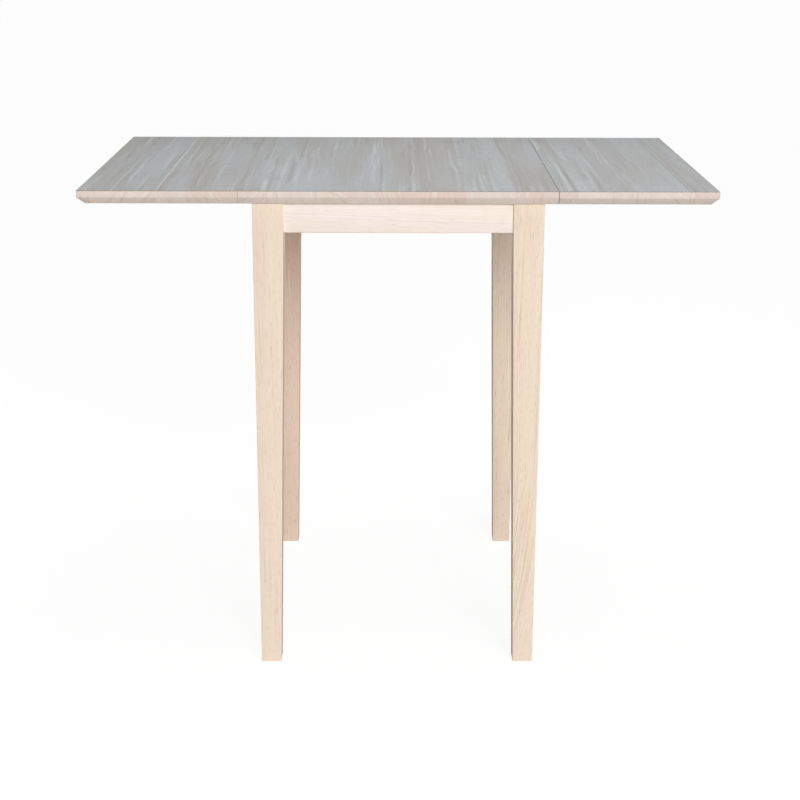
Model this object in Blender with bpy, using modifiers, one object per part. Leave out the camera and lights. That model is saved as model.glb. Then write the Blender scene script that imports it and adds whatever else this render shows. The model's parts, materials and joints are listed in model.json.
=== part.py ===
"""Drop-leaf dining table in bare hardwood, as separate solids in metres.

A fixed centre panel stands on a leg-and-apron frame. A leaf hangs from each
end of it on two butt hinges, and two wooden slides carry each raised leaf.
X runs along the top through both leaves, -Y is the front and Z is up, with
the origin on the floor under the middle of the table. The left side is the
right side turned half round about Z.
"""
import math

import bmesh
import bpy
import numpy as np
from mathutils import Matrix, Vector

# Table top
CENTRE_LENGTH = 0.4572
LEAF_LENGTH = 0.2286
TOP_DEPTH = 0.5588
TABLE_HEIGHT = 0.7366
TOP_THICKNESS = 0.020
EDGE_CHAMFER = 0.010
SEAM_GAP = 0.001

# Legs and aprons
LEG_TOP_WIDTH = 0.0445
LEG_FOOT_WIDTH = 0.0305
LEG_SIDE_INSET = 0.019
LEG_FRONT_INSET = 0.012
LEG_EASED_EDGE = 0.0015
LEG_EASE_STEPS = 2
APRON_HEIGHT = 0.043
APRON_THICKNESS = 0.019
APRON_SETBACK = 0.004

# Corner blocks, with the bolts that draw the legs to the aprons
BLOCK_THICKNESS = 0.020
BLOCK_HEIGHT = 0.030
BLOCK_LEG_GAP = 0.003
BOLT_RADIUS = 0.003
BOLT_BITE = 0.028
BOLT_TAIL = 0.004
WASHER_RADIUS = 0.008
WASHER_THICKNESS = 0.0015
NUT_ACROSS_FLATS = 0.010
NUT_HEIGHT = 0.005

# Holes for the wood screws
SCREW_RADIUS = 0.002
SCREW_HEAD_RADIUS = 0.004
SCREW_HEAD_HEIGHT = 0.0024
SCREW_BITE = 0.012
BLOCK_SCREW_SEAT = 0.008
TOP_SCREW_RECESS = 0.004
TOP_SCREW_OFFSET = 0.014

# Leaf hinges
HINGE_LENGTH = 0.064
HINGE_LEG_CLEARANCE = 0.021
HINGE_APRON_CLEARANCE = 0.003
HINGE_LEAF_WIDTH = 0.032
HINGE_PLATE_THICKNESS = 0.0015
HINGE_PIN_RADIUS = 0.0012
HINGE_SCREW_RADIUS = 0.0015
HINGE_SCREW_HEAD_RADIUS = 0.003
HINGE_SCREW_MARGIN = 0.010
HINGE_SCREWS = 3
FIXED_KNUCKLES = (0, 2, 4)
LEAF_KNUCKLES = (1, 3)

# Slides that carry the raised leaves, and the guides they run in
LEAF_SWING = math.pi / 2
SLIDE_WIDTH = 0.026
SLIDE_HEIGHT = 0.016
SLIDE_REACH = 0.060
SLIDE_TRAVEL = 0.150
SLIDE_TAIL = 0.014
TIP_BEVEL = 0.008
TIP_CLEARANCE = 0.002
STOP_RADIUS = 0.004
STOP_DROP = 0.013
GUIDE_OFFSET = 0.0725
GUIDE_OUTER_RAIL = 0.012
GUIDE_MIDDLE_RAIL = 0.008
KEEPER_WIDTH = 0.016
KEEPER_THICKNESS = 0.008
RAMP_WIDTH = 0.030
RAMP_LEAD = 0.006
RAMP_OVERRUN = 0.0015
RAMP_LENGTH = 0.045

# Clearances
SEAT_GAP = 0.0003
SLIDE_CLEARANCE = 0.0005
WINDOW_CLEARANCE = 0.001
CUT_OVERRUN = 0.005
TAB_INSET = 0.0002
WELD_DISTANCE = 0.00001

# Sides of the turned pieces
PIN_SIDES = 12
SCREW_SIDES = 8
NUT_SIDES = 6

# Faces that meet more sharply than this show an edge
EDGE_ANGLE = math.radians(40)

# Angles at which the slide tips are set against a falling leaf
SWING_STEPS = 200

# Heights
UNDERSIDE = TABLE_HEIGHT - TOP_THICKNESS
FRAME_TOP = UNDERSIDE - SEAT_GAP
APRON_BOTTOM = FRAME_TOP - APRON_HEIGHT

# Places in plan, on the right and at the back
SEAM_X = CENTRE_LENGTH / 2
LEG_X = SEAM_X - LEG_SIDE_INSET
LEG_Y = TOP_DEPTH / 2 - LEG_FRONT_INSET
APRON_DEPTH = APRON_SETBACK + APRON_THICKNESS
SIDE_APRON_INNER_X = LEG_X - APRON_DEPTH
LEG_STAND_IN = LEG_TOP_WIDTH - APRON_DEPTH

# Corner block: where its two long faces meet an apron, from the corner of the aprons' inner faces
BLOCK_NEAR = 2 * LEG_STAND_IN + math.sqrt(2) * BLOCK_LEG_GAP
BLOCK_FAR = BLOCK_NEAR + math.sqrt(2) * BLOCK_THICKNESS
BLOCK_MIDDLE_Z = FRAME_TOP - BLOCK_HEIGHT / 2

# Hinge barrel: the plates are rolled round the pin
KNUCKLE_PITCH = HINGE_LENGTH / (len(FIXED_KNUCKLES) + len(LEAF_KNUCKLES))
BORE_RADIUS = HINGE_PIN_RADIUS + SEAT_GAP
BARREL_RADIUS = BORE_RADIUS + HINGE_PLATE_THICKNESS
AXIS_DROP = BARREL_RADIUS + SEAT_GAP
AXIS_Z = UNDERSIDE - AXIS_DROP
HINGE_Y = LEG_Y - LEG_TOP_WIDTH - HINGE_LEG_CLEARANCE - HINGE_LENGTH / 2
HINGE_FIXED_WIDTH = LEG_SIDE_INSET + APRON_SETBACK - HINGE_APRON_CLEARANCE

# The slide draws in steadily as its leaf falls, so its tip meets the leaf on a ramp
RETRACT_RATE = SLIDE_TRAVEL / LEAF_SWING
RAMP_SLOPE = SLIDE_REACH / RETRACT_RATE

WOOD = ((0.83, 0.71, 0.57), 0.62, 0.0)
PALE_WOOD = ((0.93, 0.84, 0.75), 0.62, 0.0)
GREY_WOOD = ((0.42, 0.41, 0.40), 0.55, 0.0)
STEEL = ((0.62, 0.62, 0.60), 0.38, 1.0)
BRASSED = ((0.66, 0.56, 0.36), 0.36, 1.0)

CORNERS = {"back_right": (1, 1), "back_left": (-1, 1), "front_left": (-1, -1), "front_right": (1, -1)}


def slide_depth():
    """Return the depth of the slide tops below the hinge axis that lets the tips pass a falling leaf."""
    angle = np.linspace(0.0, SLIDE_REACH / RETRACT_RATE, SWING_STEPS)
    reach = SLIDE_REACH - RETRACT_RATE * angle
    tip = (reach * np.sin(angle) - AXIS_DROP) / np.cos(angle) - RAMP_SLOPE * TIP_BEVEL
    shoulder = ((reach - TIP_BEVEL) * np.sin(angle) - AXIS_DROP) / np.cos(angle)
    return float(max(tip.max(), shoulder.max())) + TIP_CLEARANCE


SLIDE_DEPTH = slide_depth()
SLIDE_TOP = AXIS_Z - SLIDE_DEPTH
SLIDE_BOTTOM = SLIDE_TOP - SLIDE_HEIGHT
KEEPER_TOP = SLIDE_BOTTOM - SEAT_GAP
STOP_X = -(KEEPER_WIDTH / 2 + SEAT_GAP + STOP_RADIUS)
CHANNEL_WIDTH = SLIDE_WIDTH + 2 * SLIDE_CLEARANCE
CHANNEL_PITCH = CHANNEL_WIDTH + GUIDE_MIDDLE_RAIL
GUIDE_WIDTH = 2 * CHANNEL_WIDTH + GUIDE_MIDDLE_RAIL + 2 * GUIDE_OUTER_RAIL
GUIDE_END_X = SIDE_APRON_INNER_X - SEAT_GAP

# The right side's hinges and slides by their ends; the left side's are these turned half round
HINGE_ENDS = {"front": -HINGE_Y, "back": HINGE_Y}
SLIDE_ENDS = {"front": -GUIDE_OFFSET + CHANNEL_PITCH / 2, "back": GUIDE_OFFSET + CHANNEL_PITCH / 2}


def clear_scene():
    """Remove every object and collection that the scene holds."""
    for obj in list(bpy.data.objects):
        bpy.data.objects.remove(obj, do_unlink=True)
    for collection in list(bpy.data.collections):
        bpy.data.collections.remove(collection)


def add_collection(name):
    """Link a new collection into the scene and return it."""
    collection = bpy.data.collections.new(name)
    bpy.context.scene.collection.children.link(collection)
    return collection


def add_finish(name, finish):
    """Return a Principled material of the given colour, roughness and metallic value."""
    colour, roughness, metallic = finish
    material = bpy.data.materials.new(name)
    material.use_nodes = True
    shader = material.node_tree.nodes["Principled BSDF"]
    shader.inputs["Base Color"].default_value = (*colour, 1.0)
    shader.inputs["Roughness"].default_value = roughness
    shader.inputs["Metallic"].default_value = metallic
    return material


def evaluated_mesh(data):
    """Return a welded mesh of what a temporary object with this data and its modifiers shows."""
    shape = data if isinstance(data, bpy.types.Object) else bpy.data.objects.new("shape", data)
    bpy.context.scene.collection.objects.link(shape)
    depsgraph = bpy.context.evaluated_depsgraph_get()
    mesh = bpy.data.meshes.new_from_object(shape.evaluated_get(depsgraph))
    bpy.data.objects.remove(shape, do_unlink=True)
    bm = bmesh.new()
    bm.from_mesh(mesh)
    bmesh.ops.remove_doubles(bm, verts=bm.verts, dist=WELD_DISTANCE)
    bmesh.ops.recalc_face_normals(bm, faces=bm.faces)
    bm.to_mesh(mesh)
    bm.free()
    return mesh


def mesh_from(bm):
    """Return a new mesh of a bmesh, which is freed."""
    mesh = bpy.data.meshes.new("shape")
    bmesh.ops.recalc_face_normals(bm, faces=bm.faces)
    bm.to_mesh(mesh)
    bm.free()
    return mesh


def box_bmesh(low, high):
    """Return a box between two opposite corners."""
    low, high = Vector(low), Vector(high)
    bm = bmesh.new()
    matrix = Matrix.Translation((low + high) / 2) @ Matrix.Diagonal((*(high - low), 1.0))
    bmesh.ops.create_cube(bm, size=1.0, matrix=matrix)
    return bm


def box_mesh(low, high):
    """Return a plain box mesh between two opposite corners."""
    return mesh_from(box_bmesh(low, high))


def turned_mesh(profile, sides, ring=False):
    """Turn (radius, height) points, running down the outer side, about Z; a ring's outline is closed."""
    edges = [(i, i + 1) for i in range(len(profile) - 1)]
    if ring:
        edges.append((len(profile) - 1, 0))
    mesh = bpy.data.meshes.new("profile")
    mesh.from_pydata([(radius, 0.0, height) for radius, height in profile], edges, [])
    shape = bpy.data.objects.new("turned", mesh)
    screw = shape.modifiers.new("turn", "SCREW")
    screw.steps = sides
    screw.render_steps = sides
    screw.use_merge_vertices = True
    screw.merge_threshold = WELD_DISTANCE
    return evaluated_mesh(shape)


def cylinder_mesh(radius, low, high, sides):
    """Return a round bar about Z between two heights."""
    return turned_mesh([(0.0, high), (radius, high), (radius, low), (0.0, low)], sides)


def ring_mesh(outer, inner, low, high, sides):
    """Return a round ring about Z between two heights."""
    return turned_mesh([(inner, high), (outer, high), (outer, low), (inner, low)], sides, ring=True)


def outline_mesh(points, thickness):
    """Return a flat outline in XY, thickened evenly to both sides along Z."""
    curve = bpy.data.curves.new("outline", "CURVE")
    curve.dimensions = "2D"
    curve.fill_mode = "BOTH"
    curve.extrude = thickness / 2
    spline = curve.splines.new("POLY")
    spline.points.add(len(points) - 1)
    for point, (x, y) in zip(spline.points, points):
        point.co = (x, y, 0.0, 1.0)
    spline.use_cyclic_u = True
    return evaluated_mesh(curve)


def upright_mesh(points, width):
    """Return an outline drawn in XZ and thickened evenly to both sides along Y."""
    mesh = outline_mesh(points, width)
    mesh.transform(Matrix.Rotation(math.pi / 2, 4, "X"))
    return mesh


def grouped_mesh(pieces):
    """Return one mesh of several (mesh, matrix) pieces, as a cutter holds them."""
    bm = bmesh.new()
    for mesh, matrix in pieces:
        copy = mesh.copy()
        copy.transform(matrix)
        bm.from_mesh(copy)
        bpy.data.meshes.remove(copy)
    return mesh_from(bm)


def pointing(place, head):
    """Return the matrix that carries the Z axis at the origin to a place, along a direction."""
    return Matrix.Translation(place) @ Vector(head).to_track_quat("Z", "Y").to_matrix().to_4x4()


def screw_hole_mesh(radius, head_radius, head_height, length, pocket):
    """Return the hole of a countersunk screw: head at zero, point down, with a pocket above the head."""
    profile = [
        (0.0, pocket),
        (head_radius, pocket),
        (head_radius, 0.0),
        (radius, -head_height),
        (radius, -length),
        (0.0, -length),
    ]
    return turned_mesh(profile, SCREW_SIDES)


class Workshop:
    """Keeps the two collections, and adds pieces and cutters to them."""

    def __init__(self):
        """Start the collections of pieces and of cutters."""
        self.pieces = add_collection("drop_leaf_table")
        self.cutters = add_collection("cutters")

    def piece(self, name, mesh, finish, matrix=None, parent=None, smooth=False):
        """Add a named piece, placed by a matrix under its parent if it has one."""
        obj = bpy.data.objects.new(name, mesh)
        mesh.name = name
        mesh.materials.clear()
        mesh.materials.append(add_finish(name, finish))
        if smooth:
            mesh.shade_smooth()
            mesh.set_sharp_from_angle(angle=EDGE_ANGLE)
        self.pieces.objects.link(obj)
        obj.parent = parent
        obj.matrix_basis = matrix or Matrix()
        return obj

    def pivot(self, name, matrix):
        """Add an empty that carries the pieces of a moving body on its joint axis."""
        empty = bpy.data.objects.new(name, None)
        empty.empty_display_size = LEG_TOP_WIDTH
        self.pieces.objects.link(empty)
        empty.matrix_basis = matrix
        return empty

    def cutter(self, name, pieces, parent=None):
        """Add one hidden cutter made of (mesh, matrix) pieces."""
        obj = bpy.data.objects.new(name, grouped_mesh(pieces))
        obj.hide_render = True
        obj.display_type = "WIRE"
        obj.parent = parent
        self.cutters.objects.link(obj)
        return obj


def shape_with(obj, other, operation="DIFFERENCE"):
    """Cut a piece by another object, or join the other object to it."""
    modifier = obj.modifiers.new(other.name, "BOOLEAN")
    modifier.operation = operation
    modifier.object = other


def panel_mesh(low_x, high_x, chamfered_end):
    """Return a top panel with its underside chamfered at front and back, and at its far end if asked."""
    half_depth = TOP_DEPTH / 2
    bm = box_bmesh((low_x, -half_depth, 0.0), (high_x, half_depth, TOP_THICKNESS))
    chamfered = []
    for edge in bm.edges:
        middle = (edge.verts[0].co + edge.verts[1].co) / 2
        along_side = abs(abs(middle.y) - half_depth) < WELD_DISTANCE
        along_end = chamfered_end and abs(middle.x - high_x) < WELD_DISTANCE
        if middle.z < WELD_DISTANCE and (along_side or along_end):
            chamfered.append(edge)
    bmesh.ops.bevel(bm, geom=chamfered, offset=EDGE_CHAMFER, segments=1, affect="EDGES")
    return mesh_from(bm)


def leg_mesh():
    """Return a leg with its outer corner at the origin, tapered on its two inner faces below the aprons."""
    bm = box_bmesh((-LEG_TOP_WIDTH, -LEG_TOP_WIDTH, 0.0), (0.0, 0.0, FRAME_TOP))
    everything = bm.verts[:] + bm.edges[:] + bm.faces[:]
    bmesh.ops.bisect_plane(bm, geom=everything, plane_co=(0.0, 0.0, APRON_BOTTOM), plane_no=(0.0, 0.0, 1.0))
    feet = [vert for vert in bm.verts if vert.co.z < WELD_DISTANCE]
    taper = LEG_FOOT_WIDTH / LEG_TOP_WIDTH
    bmesh.ops.scale(bm, vec=(taper, taper, 1.0), verts=feet)
    return mesh_from(bm)


def corner_matrix(corner):
    """Return the frame of a corner: origin under the leg's outer corner, +X and +Y facing outwards."""
    side_x, side_y = CORNERS[corner]
    quarter_turns = list(CORNERS).index(corner)
    turn = Matrix.Rotation(quarter_turns * math.pi / 2, 4, "Z")
    return Matrix.Translation((side_x * LEG_X, side_y * LEG_Y, 0.0)) @ turn


def corner_block_mesh():
    """Return a block that lies across a corner from apron to apron, behind the leg's inner corner."""
    on_side = [(-SEAT_GAP, -BLOCK_NEAR), (-SEAT_GAP, -BLOCK_FAR)]
    on_end = [(-BLOCK_FAR, -SEAT_GAP), (-BLOCK_NEAR, -SEAT_GAP)]
    mesh = outline_mesh(on_side + on_end, BLOCK_HEIGHT)
    mesh.transform(Matrix.Translation((-APRON_DEPTH, -APRON_DEPTH, BLOCK_MIDDLE_Z)))
    return mesh


def bolt_layout():
    """Return how far the washer, the nut and the bolt's end lie inwards from the leg's inner corner."""
    block_back = BLOCK_LEG_GAP + BLOCK_THICKNESS
    washer = block_back + SEAT_GAP
    nut = washer + WASHER_THICKNESS + SEAT_GAP
    tail = nut + NUT_HEIGHT + BOLT_TAIL
    return washer, nut, tail


def corner_screws(corner):
    """Return the matrices of a corner's two apron screws and its top screw."""
    frame = corner_matrix(corner)
    seat = APRON_DEPTH + (BLOCK_NEAR + BLOCK_FAR) / 2
    depth = APRON_DEPTH + BLOCK_SCREW_SEAT
    to_side = frame @ pointing((-depth, -seat, BLOCK_MIDDLE_Z), (-1, 0, 0))
    to_end = frame @ pointing((-seat, -depth, BLOCK_MIDDLE_Z), (0, -1, 0))
    middle = (APRON_DEPTH + seat) / 2
    aside = TOP_SCREW_OFFSET / math.sqrt(2)
    low = FRAME_TOP - BLOCK_HEIGHT + TOP_SCREW_RECESS
    to_top = frame @ pointing((-middle - aside, -middle + aside, low), (0, 0, -1))
    return [to_side, to_end], to_top


def build_frame(shop):
    """Add the legs, the aprons, the corner blocks and the leg bolts; return the top screws' holes."""
    legs = {}
    blocks = {}
    for corner in CORNERS:
        frame = corner_matrix(corner)
        legs[corner] = shop.piece(f"{corner}_leg", leg_mesh(), WOOD, frame)
        ease = legs[corner].modifiers.new("eased edges", "BEVEL")
        ease.width = LEG_EASED_EDGE
        ease.segments = LEG_EASE_STEPS
        ease.limit_method = "ANGLE"
        blocks[corner] = shop.piece(f"{corner}_corner_block", corner_block_mesh(), WOOD, frame)
    aprons = build_aprons(shop)
    build_leg_bolts(shop, legs, blocks)
    return bore_frame_screws(shop, aprons, blocks)


def build_aprons(shop):
    """Add the four aprons between the legs."""
    aprons = {}
    end_x = LEG_X - LEG_TOP_WIDTH - SEAT_GAP
    face_y = LEG_Y - APRON_SETBACK
    for name, side in (("front", -1), ("back", 1)):
        faces = sorted((side * face_y, side * (face_y - APRON_THICKNESS)))
        mesh = box_mesh((-end_x, faces[0], APRON_BOTTOM), (end_x, faces[1], FRAME_TOP))
        aprons[name] = shop.piece(f"{name}_apron", mesh, PALE_WOOD)
    end_y = LEG_Y - LEG_TOP_WIDTH - SEAT_GAP
    face_x = LEG_X - APRON_SETBACK
    for name, turn in (("right", 0.0), ("left", math.pi)):
        mesh = box_mesh((SIDE_APRON_INNER_X, -end_y, APRON_BOTTOM), (face_x, end_y, FRAME_TOP))
        matrix = Matrix.Rotation(turn, 4, "Z")
        aprons[name] = shop.piece(f"{name}_apron", mesh, PALE_WOOD, matrix)
        windows = [(window_mesh(y), matrix) for y in SLIDE_ENDS.values()]
        shape_with(aprons[name], shop.cutter(f"{name}_slide_windows", windows))
    return aprons


def window_mesh(y):
    """Return the cutter of the window through the right apron for the slide at this Y."""
    half = SLIDE_WIDTH / 2 + WINDOW_CLEARANCE
    low = (SIDE_APRON_INNER_X - CUT_OVERRUN, y - half, SLIDE_BOTTOM - WINDOW_CLEARANCE)
    high = (LEG_X + CUT_OVERRUN, y + half, SLIDE_TOP + WINDOW_CLEARANCE)
    return box_mesh(low, high)


def build_leg_bolts(shop, legs, blocks):
    """Add the bolt, washer and nut that hold each leg, and bore the leg and its block for them."""
    washer_at, nut_at, tail_at = bolt_layout()
    bolt = cylinder_mesh(BOLT_RADIUS, -BOLT_BITE, tail_at, PIN_SIDES)
    bore = BOLT_RADIUS + SEAT_GAP
    hole = cylinder_mesh(bore, -BOLT_BITE - SEAT_GAP, tail_at + CUT_OVERRUN, PIN_SIDES)
    washer = ring_mesh(WASHER_RADIUS, bore, washer_at, washer_at + WASHER_THICKNESS, PIN_SIDES)
    corner_ratio = 1 / math.cos(math.pi / NUT_SIDES)
    nut_radius = NUT_ACROSS_FLATS / 2 * corner_ratio
    nut = ring_mesh(nut_radius, bore * corner_ratio, nut_at, nut_at + NUT_HEIGHT, NUT_SIDES)
    inner_corner = (-LEG_TOP_WIDTH, -LEG_TOP_WIDTH, BLOCK_MIDDLE_Z)
    for corner in CORNERS:
        axis = corner_matrix(corner) @ pointing(inner_corner, (-1, -1, 0))
        shop.piece(f"{corner}_leg_bolt", bolt.copy(), STEEL, axis, smooth=True)
        shop.piece(f"{corner}_bolt_washer", washer.copy(), STEEL, axis, smooth=True)
        shop.piece(f"{corner}_bolt_nut", nut.copy(), STEEL, axis)
        holes = shop.cutter(f"{corner}_bolt_hole", [(hole, axis)])
        shape_with(legs[corner], holes)
        shape_with(blocks[corner], holes)


def bore_frame_screws(shop, aprons, blocks):
    """Bore the corner blocks and aprons for their screws; return the cutter of the top screws' holes."""
    size = (SCREW_RADIUS, SCREW_HEAD_RADIUS, SCREW_HEAD_HEIGHT)
    side_hole = screw_hole_mesh(*size, BLOCK_SCREW_SEAT + SCREW_BITE, BLOCK_THICKNESS)
    top_length = BLOCK_HEIGHT - TOP_SCREW_RECESS + SCREW_BITE
    top_hole = screw_hole_mesh(*size, top_length, TOP_SCREW_RECESS + CUT_OVERRUN)
    top_axes = []
    for corner, (side_x, side_y) in CORNERS.items():
        across, upward = corner_screws(corner)
        top_axes.append(upward)
        holes = [(side_hole, axis) for axis in across] + [(top_hole, upward)]
        cutter = shop.cutter(f"{corner}_screw_holes", holes)
        shape_with(blocks[corner], cutter)
        shape_with(aprons["right" if side_x > 0 else "left"], cutter)
        shape_with(aprons["back" if side_y > 0 else "front"], cutter)
    return shop.cutter("top_screw_holes", [(top_hole, axis) for axis in top_axes])


def hinge_plate_mesh(width, knuckles):
    """Return a plate beside the hinge axis, on its +X side, with a tab at each of its own knuckles."""
    near = BARREL_RADIUS + SEAT_GAP
    tab = BORE_RADIUS / 2
    inset = SEAT_GAP / 2 + TAB_INSET
    points = [(width, HINGE_LENGTH / 2), (near, HINGE_LENGTH / 2)]
    for knuckle in reversed(knuckles):
        low = knuckle * KNUCKLE_PITCH - HINGE_LENGTH / 2 + inset
        high = low + KNUCKLE_PITCH - 2 * inset
        points += [(near, high), (tab, high), (tab, low), (near, low)]
    points += [(near, -HINGE_LENGTH / 2), (width, -HINGE_LENGTH / 2)]
    mesh = outline_mesh(points, HINGE_PLATE_THICKNESS)
    mesh.transform(Matrix.Translation((0.0, 0.0, BARREL_RADIUS - HINGE_PLATE_THICKNESS / 2)))
    return mesh


def knuckle_pieces(knuckles, axis):
    """Return the rolled knuckles of one hinge plate along its axis, as (mesh, matrix) pieces."""
    length = KNUCKLE_PITCH - SEAT_GAP
    roll = ring_mesh(BARREL_RADIUS, BORE_RADIUS, -length / 2, length / 2, PIN_SIDES)
    centres = [(knuckle + 0.5) * KNUCKLE_PITCH - HINGE_LENGTH / 2 for knuckle in knuckles]
    return [(roll, axis @ pointing((0.0, centre, 0.0), (0, 1, 0))) for centre in centres]


def hinge_screw_axes(width, axis):
    """Return the matrices of the screws through one hinge plate, heads down."""
    near = BARREL_RADIUS + SEAT_GAP
    spread = np.linspace(-1.0, 1.0, HINGE_SCREWS) * (HINGE_LENGTH / 2 - HINGE_SCREW_MARGIN)
    low = BARREL_RADIUS - HINGE_PLATE_THICKNESS
    return [axis @ pointing(((near + width) / 2, y, low), (0, 0, -1)) for y in spread]


def add_hinge_plate(shop, name, width, knuckles, matrix, parent=None):
    """Add one hinge plate with its rolled knuckles, its matrix on the hinge axis."""
    plate = shop.piece(f"{name}_plate", hinge_plate_mesh(width, knuckles), BRASSED, matrix, parent)
    rolls = shop.cutter(f"{name}_knuckles", knuckle_pieces(knuckles, matrix), parent)
    shape_with(plate, rolls, "UNION")
    return plate


def bore_hinge_screws(shop, name, plates, panel, axes, parent=None):
    """Bore hinge plates, and the panel that they lie under, for their screws."""
    size = (HINGE_SCREW_RADIUS, HINGE_SCREW_HEAD_RADIUS, HINGE_PLATE_THICKNESS)
    hole = screw_hole_mesh(*size, HINGE_PLATE_THICKNESS + SEAT_GAP + SCREW_BITE, CUT_OVERRUN)
    holes = shop.cutter(f"{name}_screw_holes", [(hole, axis) for axis in axes], parent)
    for piece in plates + [panel]:
        shape_with(piece, holes)


def build_hinges(shop, side, pivot, axis_frame, leaf, centre_top):
    """Add both hinges of one leaf with their pins, and bore the top and the leaf for their screws."""
    pin = cylinder_mesh(HINGE_PIN_RADIUS, -HINGE_LENGTH / 2, HINGE_LENGTH / 2, PIN_SIDES)
    turned_in = Matrix.Rotation(math.pi, 4, "Z")
    fixed_plates = []
    fixed_axes = []
    leaf_plates = []
    leaf_axes = []
    for end, y in HINGE_ENDS.items():
        name = f"{side}_{place_name(side, end)}_hinge"
        along = Matrix.Translation((0.0, y, 0.0))
        inward = axis_frame @ along @ turned_in
        fixed = add_hinge_plate(shop, f"{name}_fixed", HINGE_FIXED_WIDTH, FIXED_KNUCKLES, inward)
        fixed_plates.append(fixed)
        moving = add_hinge_plate(shop, f"{name}_leaf", HINGE_LEAF_WIDTH, LEAF_KNUCKLES, along, pivot)
        leaf_plates.append(moving)
        fixed_axes += hinge_screw_axes(HINGE_FIXED_WIDTH, inward)
        leaf_axes += hinge_screw_axes(HINGE_LEAF_WIDTH, along)
        pin_axis = axis_frame @ along @ pointing((0.0, 0.0, 0.0), (0, 1, 0))
        shop.piece(f"{name}_pin", pin.copy(), STEEL, pin_axis, smooth=True)
    bore_hinge_screws(shop, f"{side}_fixed_hinge", fixed_plates, centre_top, fixed_axes)
    bore_hinge_screws(shop, f"{side}_leaf_hinge", leaf_plates, leaf, leaf_axes, pivot)


def place_name(side, end):
    """Return the end of the table where an end of the right side lies after its turn to the given side."""
    turned_end = {"front": "back", "back": "front"}
    return end if side == "right" else turned_end[end]


def ramp_mesh():
    """Return the block under a leaf whose ramp lies on a slide's bevelled tip, about the hinge axis."""
    shoulder = SLIDE_REACH - TIP_BEVEL
    lift = SEAT_GAP * math.hypot(1.0, RAMP_SLOPE)
    inner = shoulder - RAMP_LEAD
    deep = SLIDE_REACH + RAMP_OVERRUN
    inner_low = -SLIDE_DEPTH + RAMP_SLOPE * RAMP_LEAD + lift
    low = -SLIDE_DEPTH - RAMP_SLOPE * (deep - shoulder) + lift
    outer = deep + RAMP_LENGTH
    high = AXIS_DROP - SEAT_GAP
    outline = [(inner, inner_low), (deep, low), (outer, low), (outer, high), (inner, high)]
    return upright_mesh(outline, RAMP_WIDTH)


def slide_mesh():
    """Return a slide with a bevelled tip, its stop at the origin in X and its middle height at zero."""
    tip = SEAM_X + SLIDE_REACH - STOP_X
    half = SLIDE_HEIGHT / 2
    bevelled = half - RAMP_SLOPE * TIP_BEVEL
    below = [(-SLIDE_TAIL, -half), (tip, -half)]
    above = [(tip, bevelled), (tip - TIP_BEVEL, half), (-SLIDE_TAIL, half)]
    return upright_mesh(below + above, SLIDE_WIDTH)


def build_side(shop, side, centre_top):
    """Add one leaf with its hinges and ramp blocks, and the two slides that carry it."""
    turn = Matrix.Rotation(0.0 if side == "right" else math.pi, 4, "Z")
    axis_frame = turn @ Matrix.Translation((SEAM_X, 0.0, AXIS_Z))
    pivot = shop.pivot(f"{side}_leaf_axis", axis_frame)
    lift = Matrix.Translation((0.0, 0.0, AXIS_DROP))
    leaf = shop.piece(f"{side}_leaf", panel_mesh(SEAM_GAP / 2, LEAF_LENGTH, True), GREY_WOOD, lift, pivot)
    build_hinges(shop, side, pivot, axis_frame, leaf, centre_top)
    stop = cylinder_mesh(STOP_RADIUS, -SLIDE_HEIGHT / 2 - STOP_DROP, SLIDE_HEIGHT / 2, PIN_SIDES)
    stop_hole = cylinder_mesh(
        STOP_RADIUS + SEAT_GAP, -SLIDE_HEIGHT - CUT_OVERRUN, SLIDE_HEIGHT + CUT_OVERRUN, PIN_SIDES)
    for end, y in SLIDE_ENDS.items():
        name = f"{side}_{place_name(side, end)}"
        shop.piece(f"{name}_ramp_block", ramp_mesh(), WOOD, Matrix.Translation((0.0, y, 0.0)), pivot)
        frame = turn @ Matrix.Translation((STOP_X, y, SLIDE_BOTTOM + SLIDE_HEIGHT / 2))
        slide = shop.piece(f"{name}_slide", slide_mesh(), WOOD, frame)
        shape_with(slide, shop.cutter(f"{name}_stop_hole", [(stop_hole, frame)]))
        shop.piece(f"{name}_slide_stop", stop.copy(), PALE_WOOD, frame, smooth=True)


def guide_mesh():
    """Return a guide about its own middle: a block as long as the frame is wide inside."""
    half = GUIDE_WIDTH / 2
    return box_mesh((-GUIDE_END_X, -half, SLIDE_BOTTOM), (GUIDE_END_X, half, FRAME_TOP))


def channel_mesh(y):
    """Return the cutter of the channel that a slide runs in, at a distance from the guide's middle."""
    half = CHANNEL_WIDTH / 2
    end = GUIDE_END_X + CUT_OVERRUN
    low = (-end, y - half, SLIDE_BOTTOM - CUT_OVERRUN)
    high = (end, y + half, SLIDE_TOP + SLIDE_CLEARANCE)
    return box_mesh(low, high)


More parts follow.
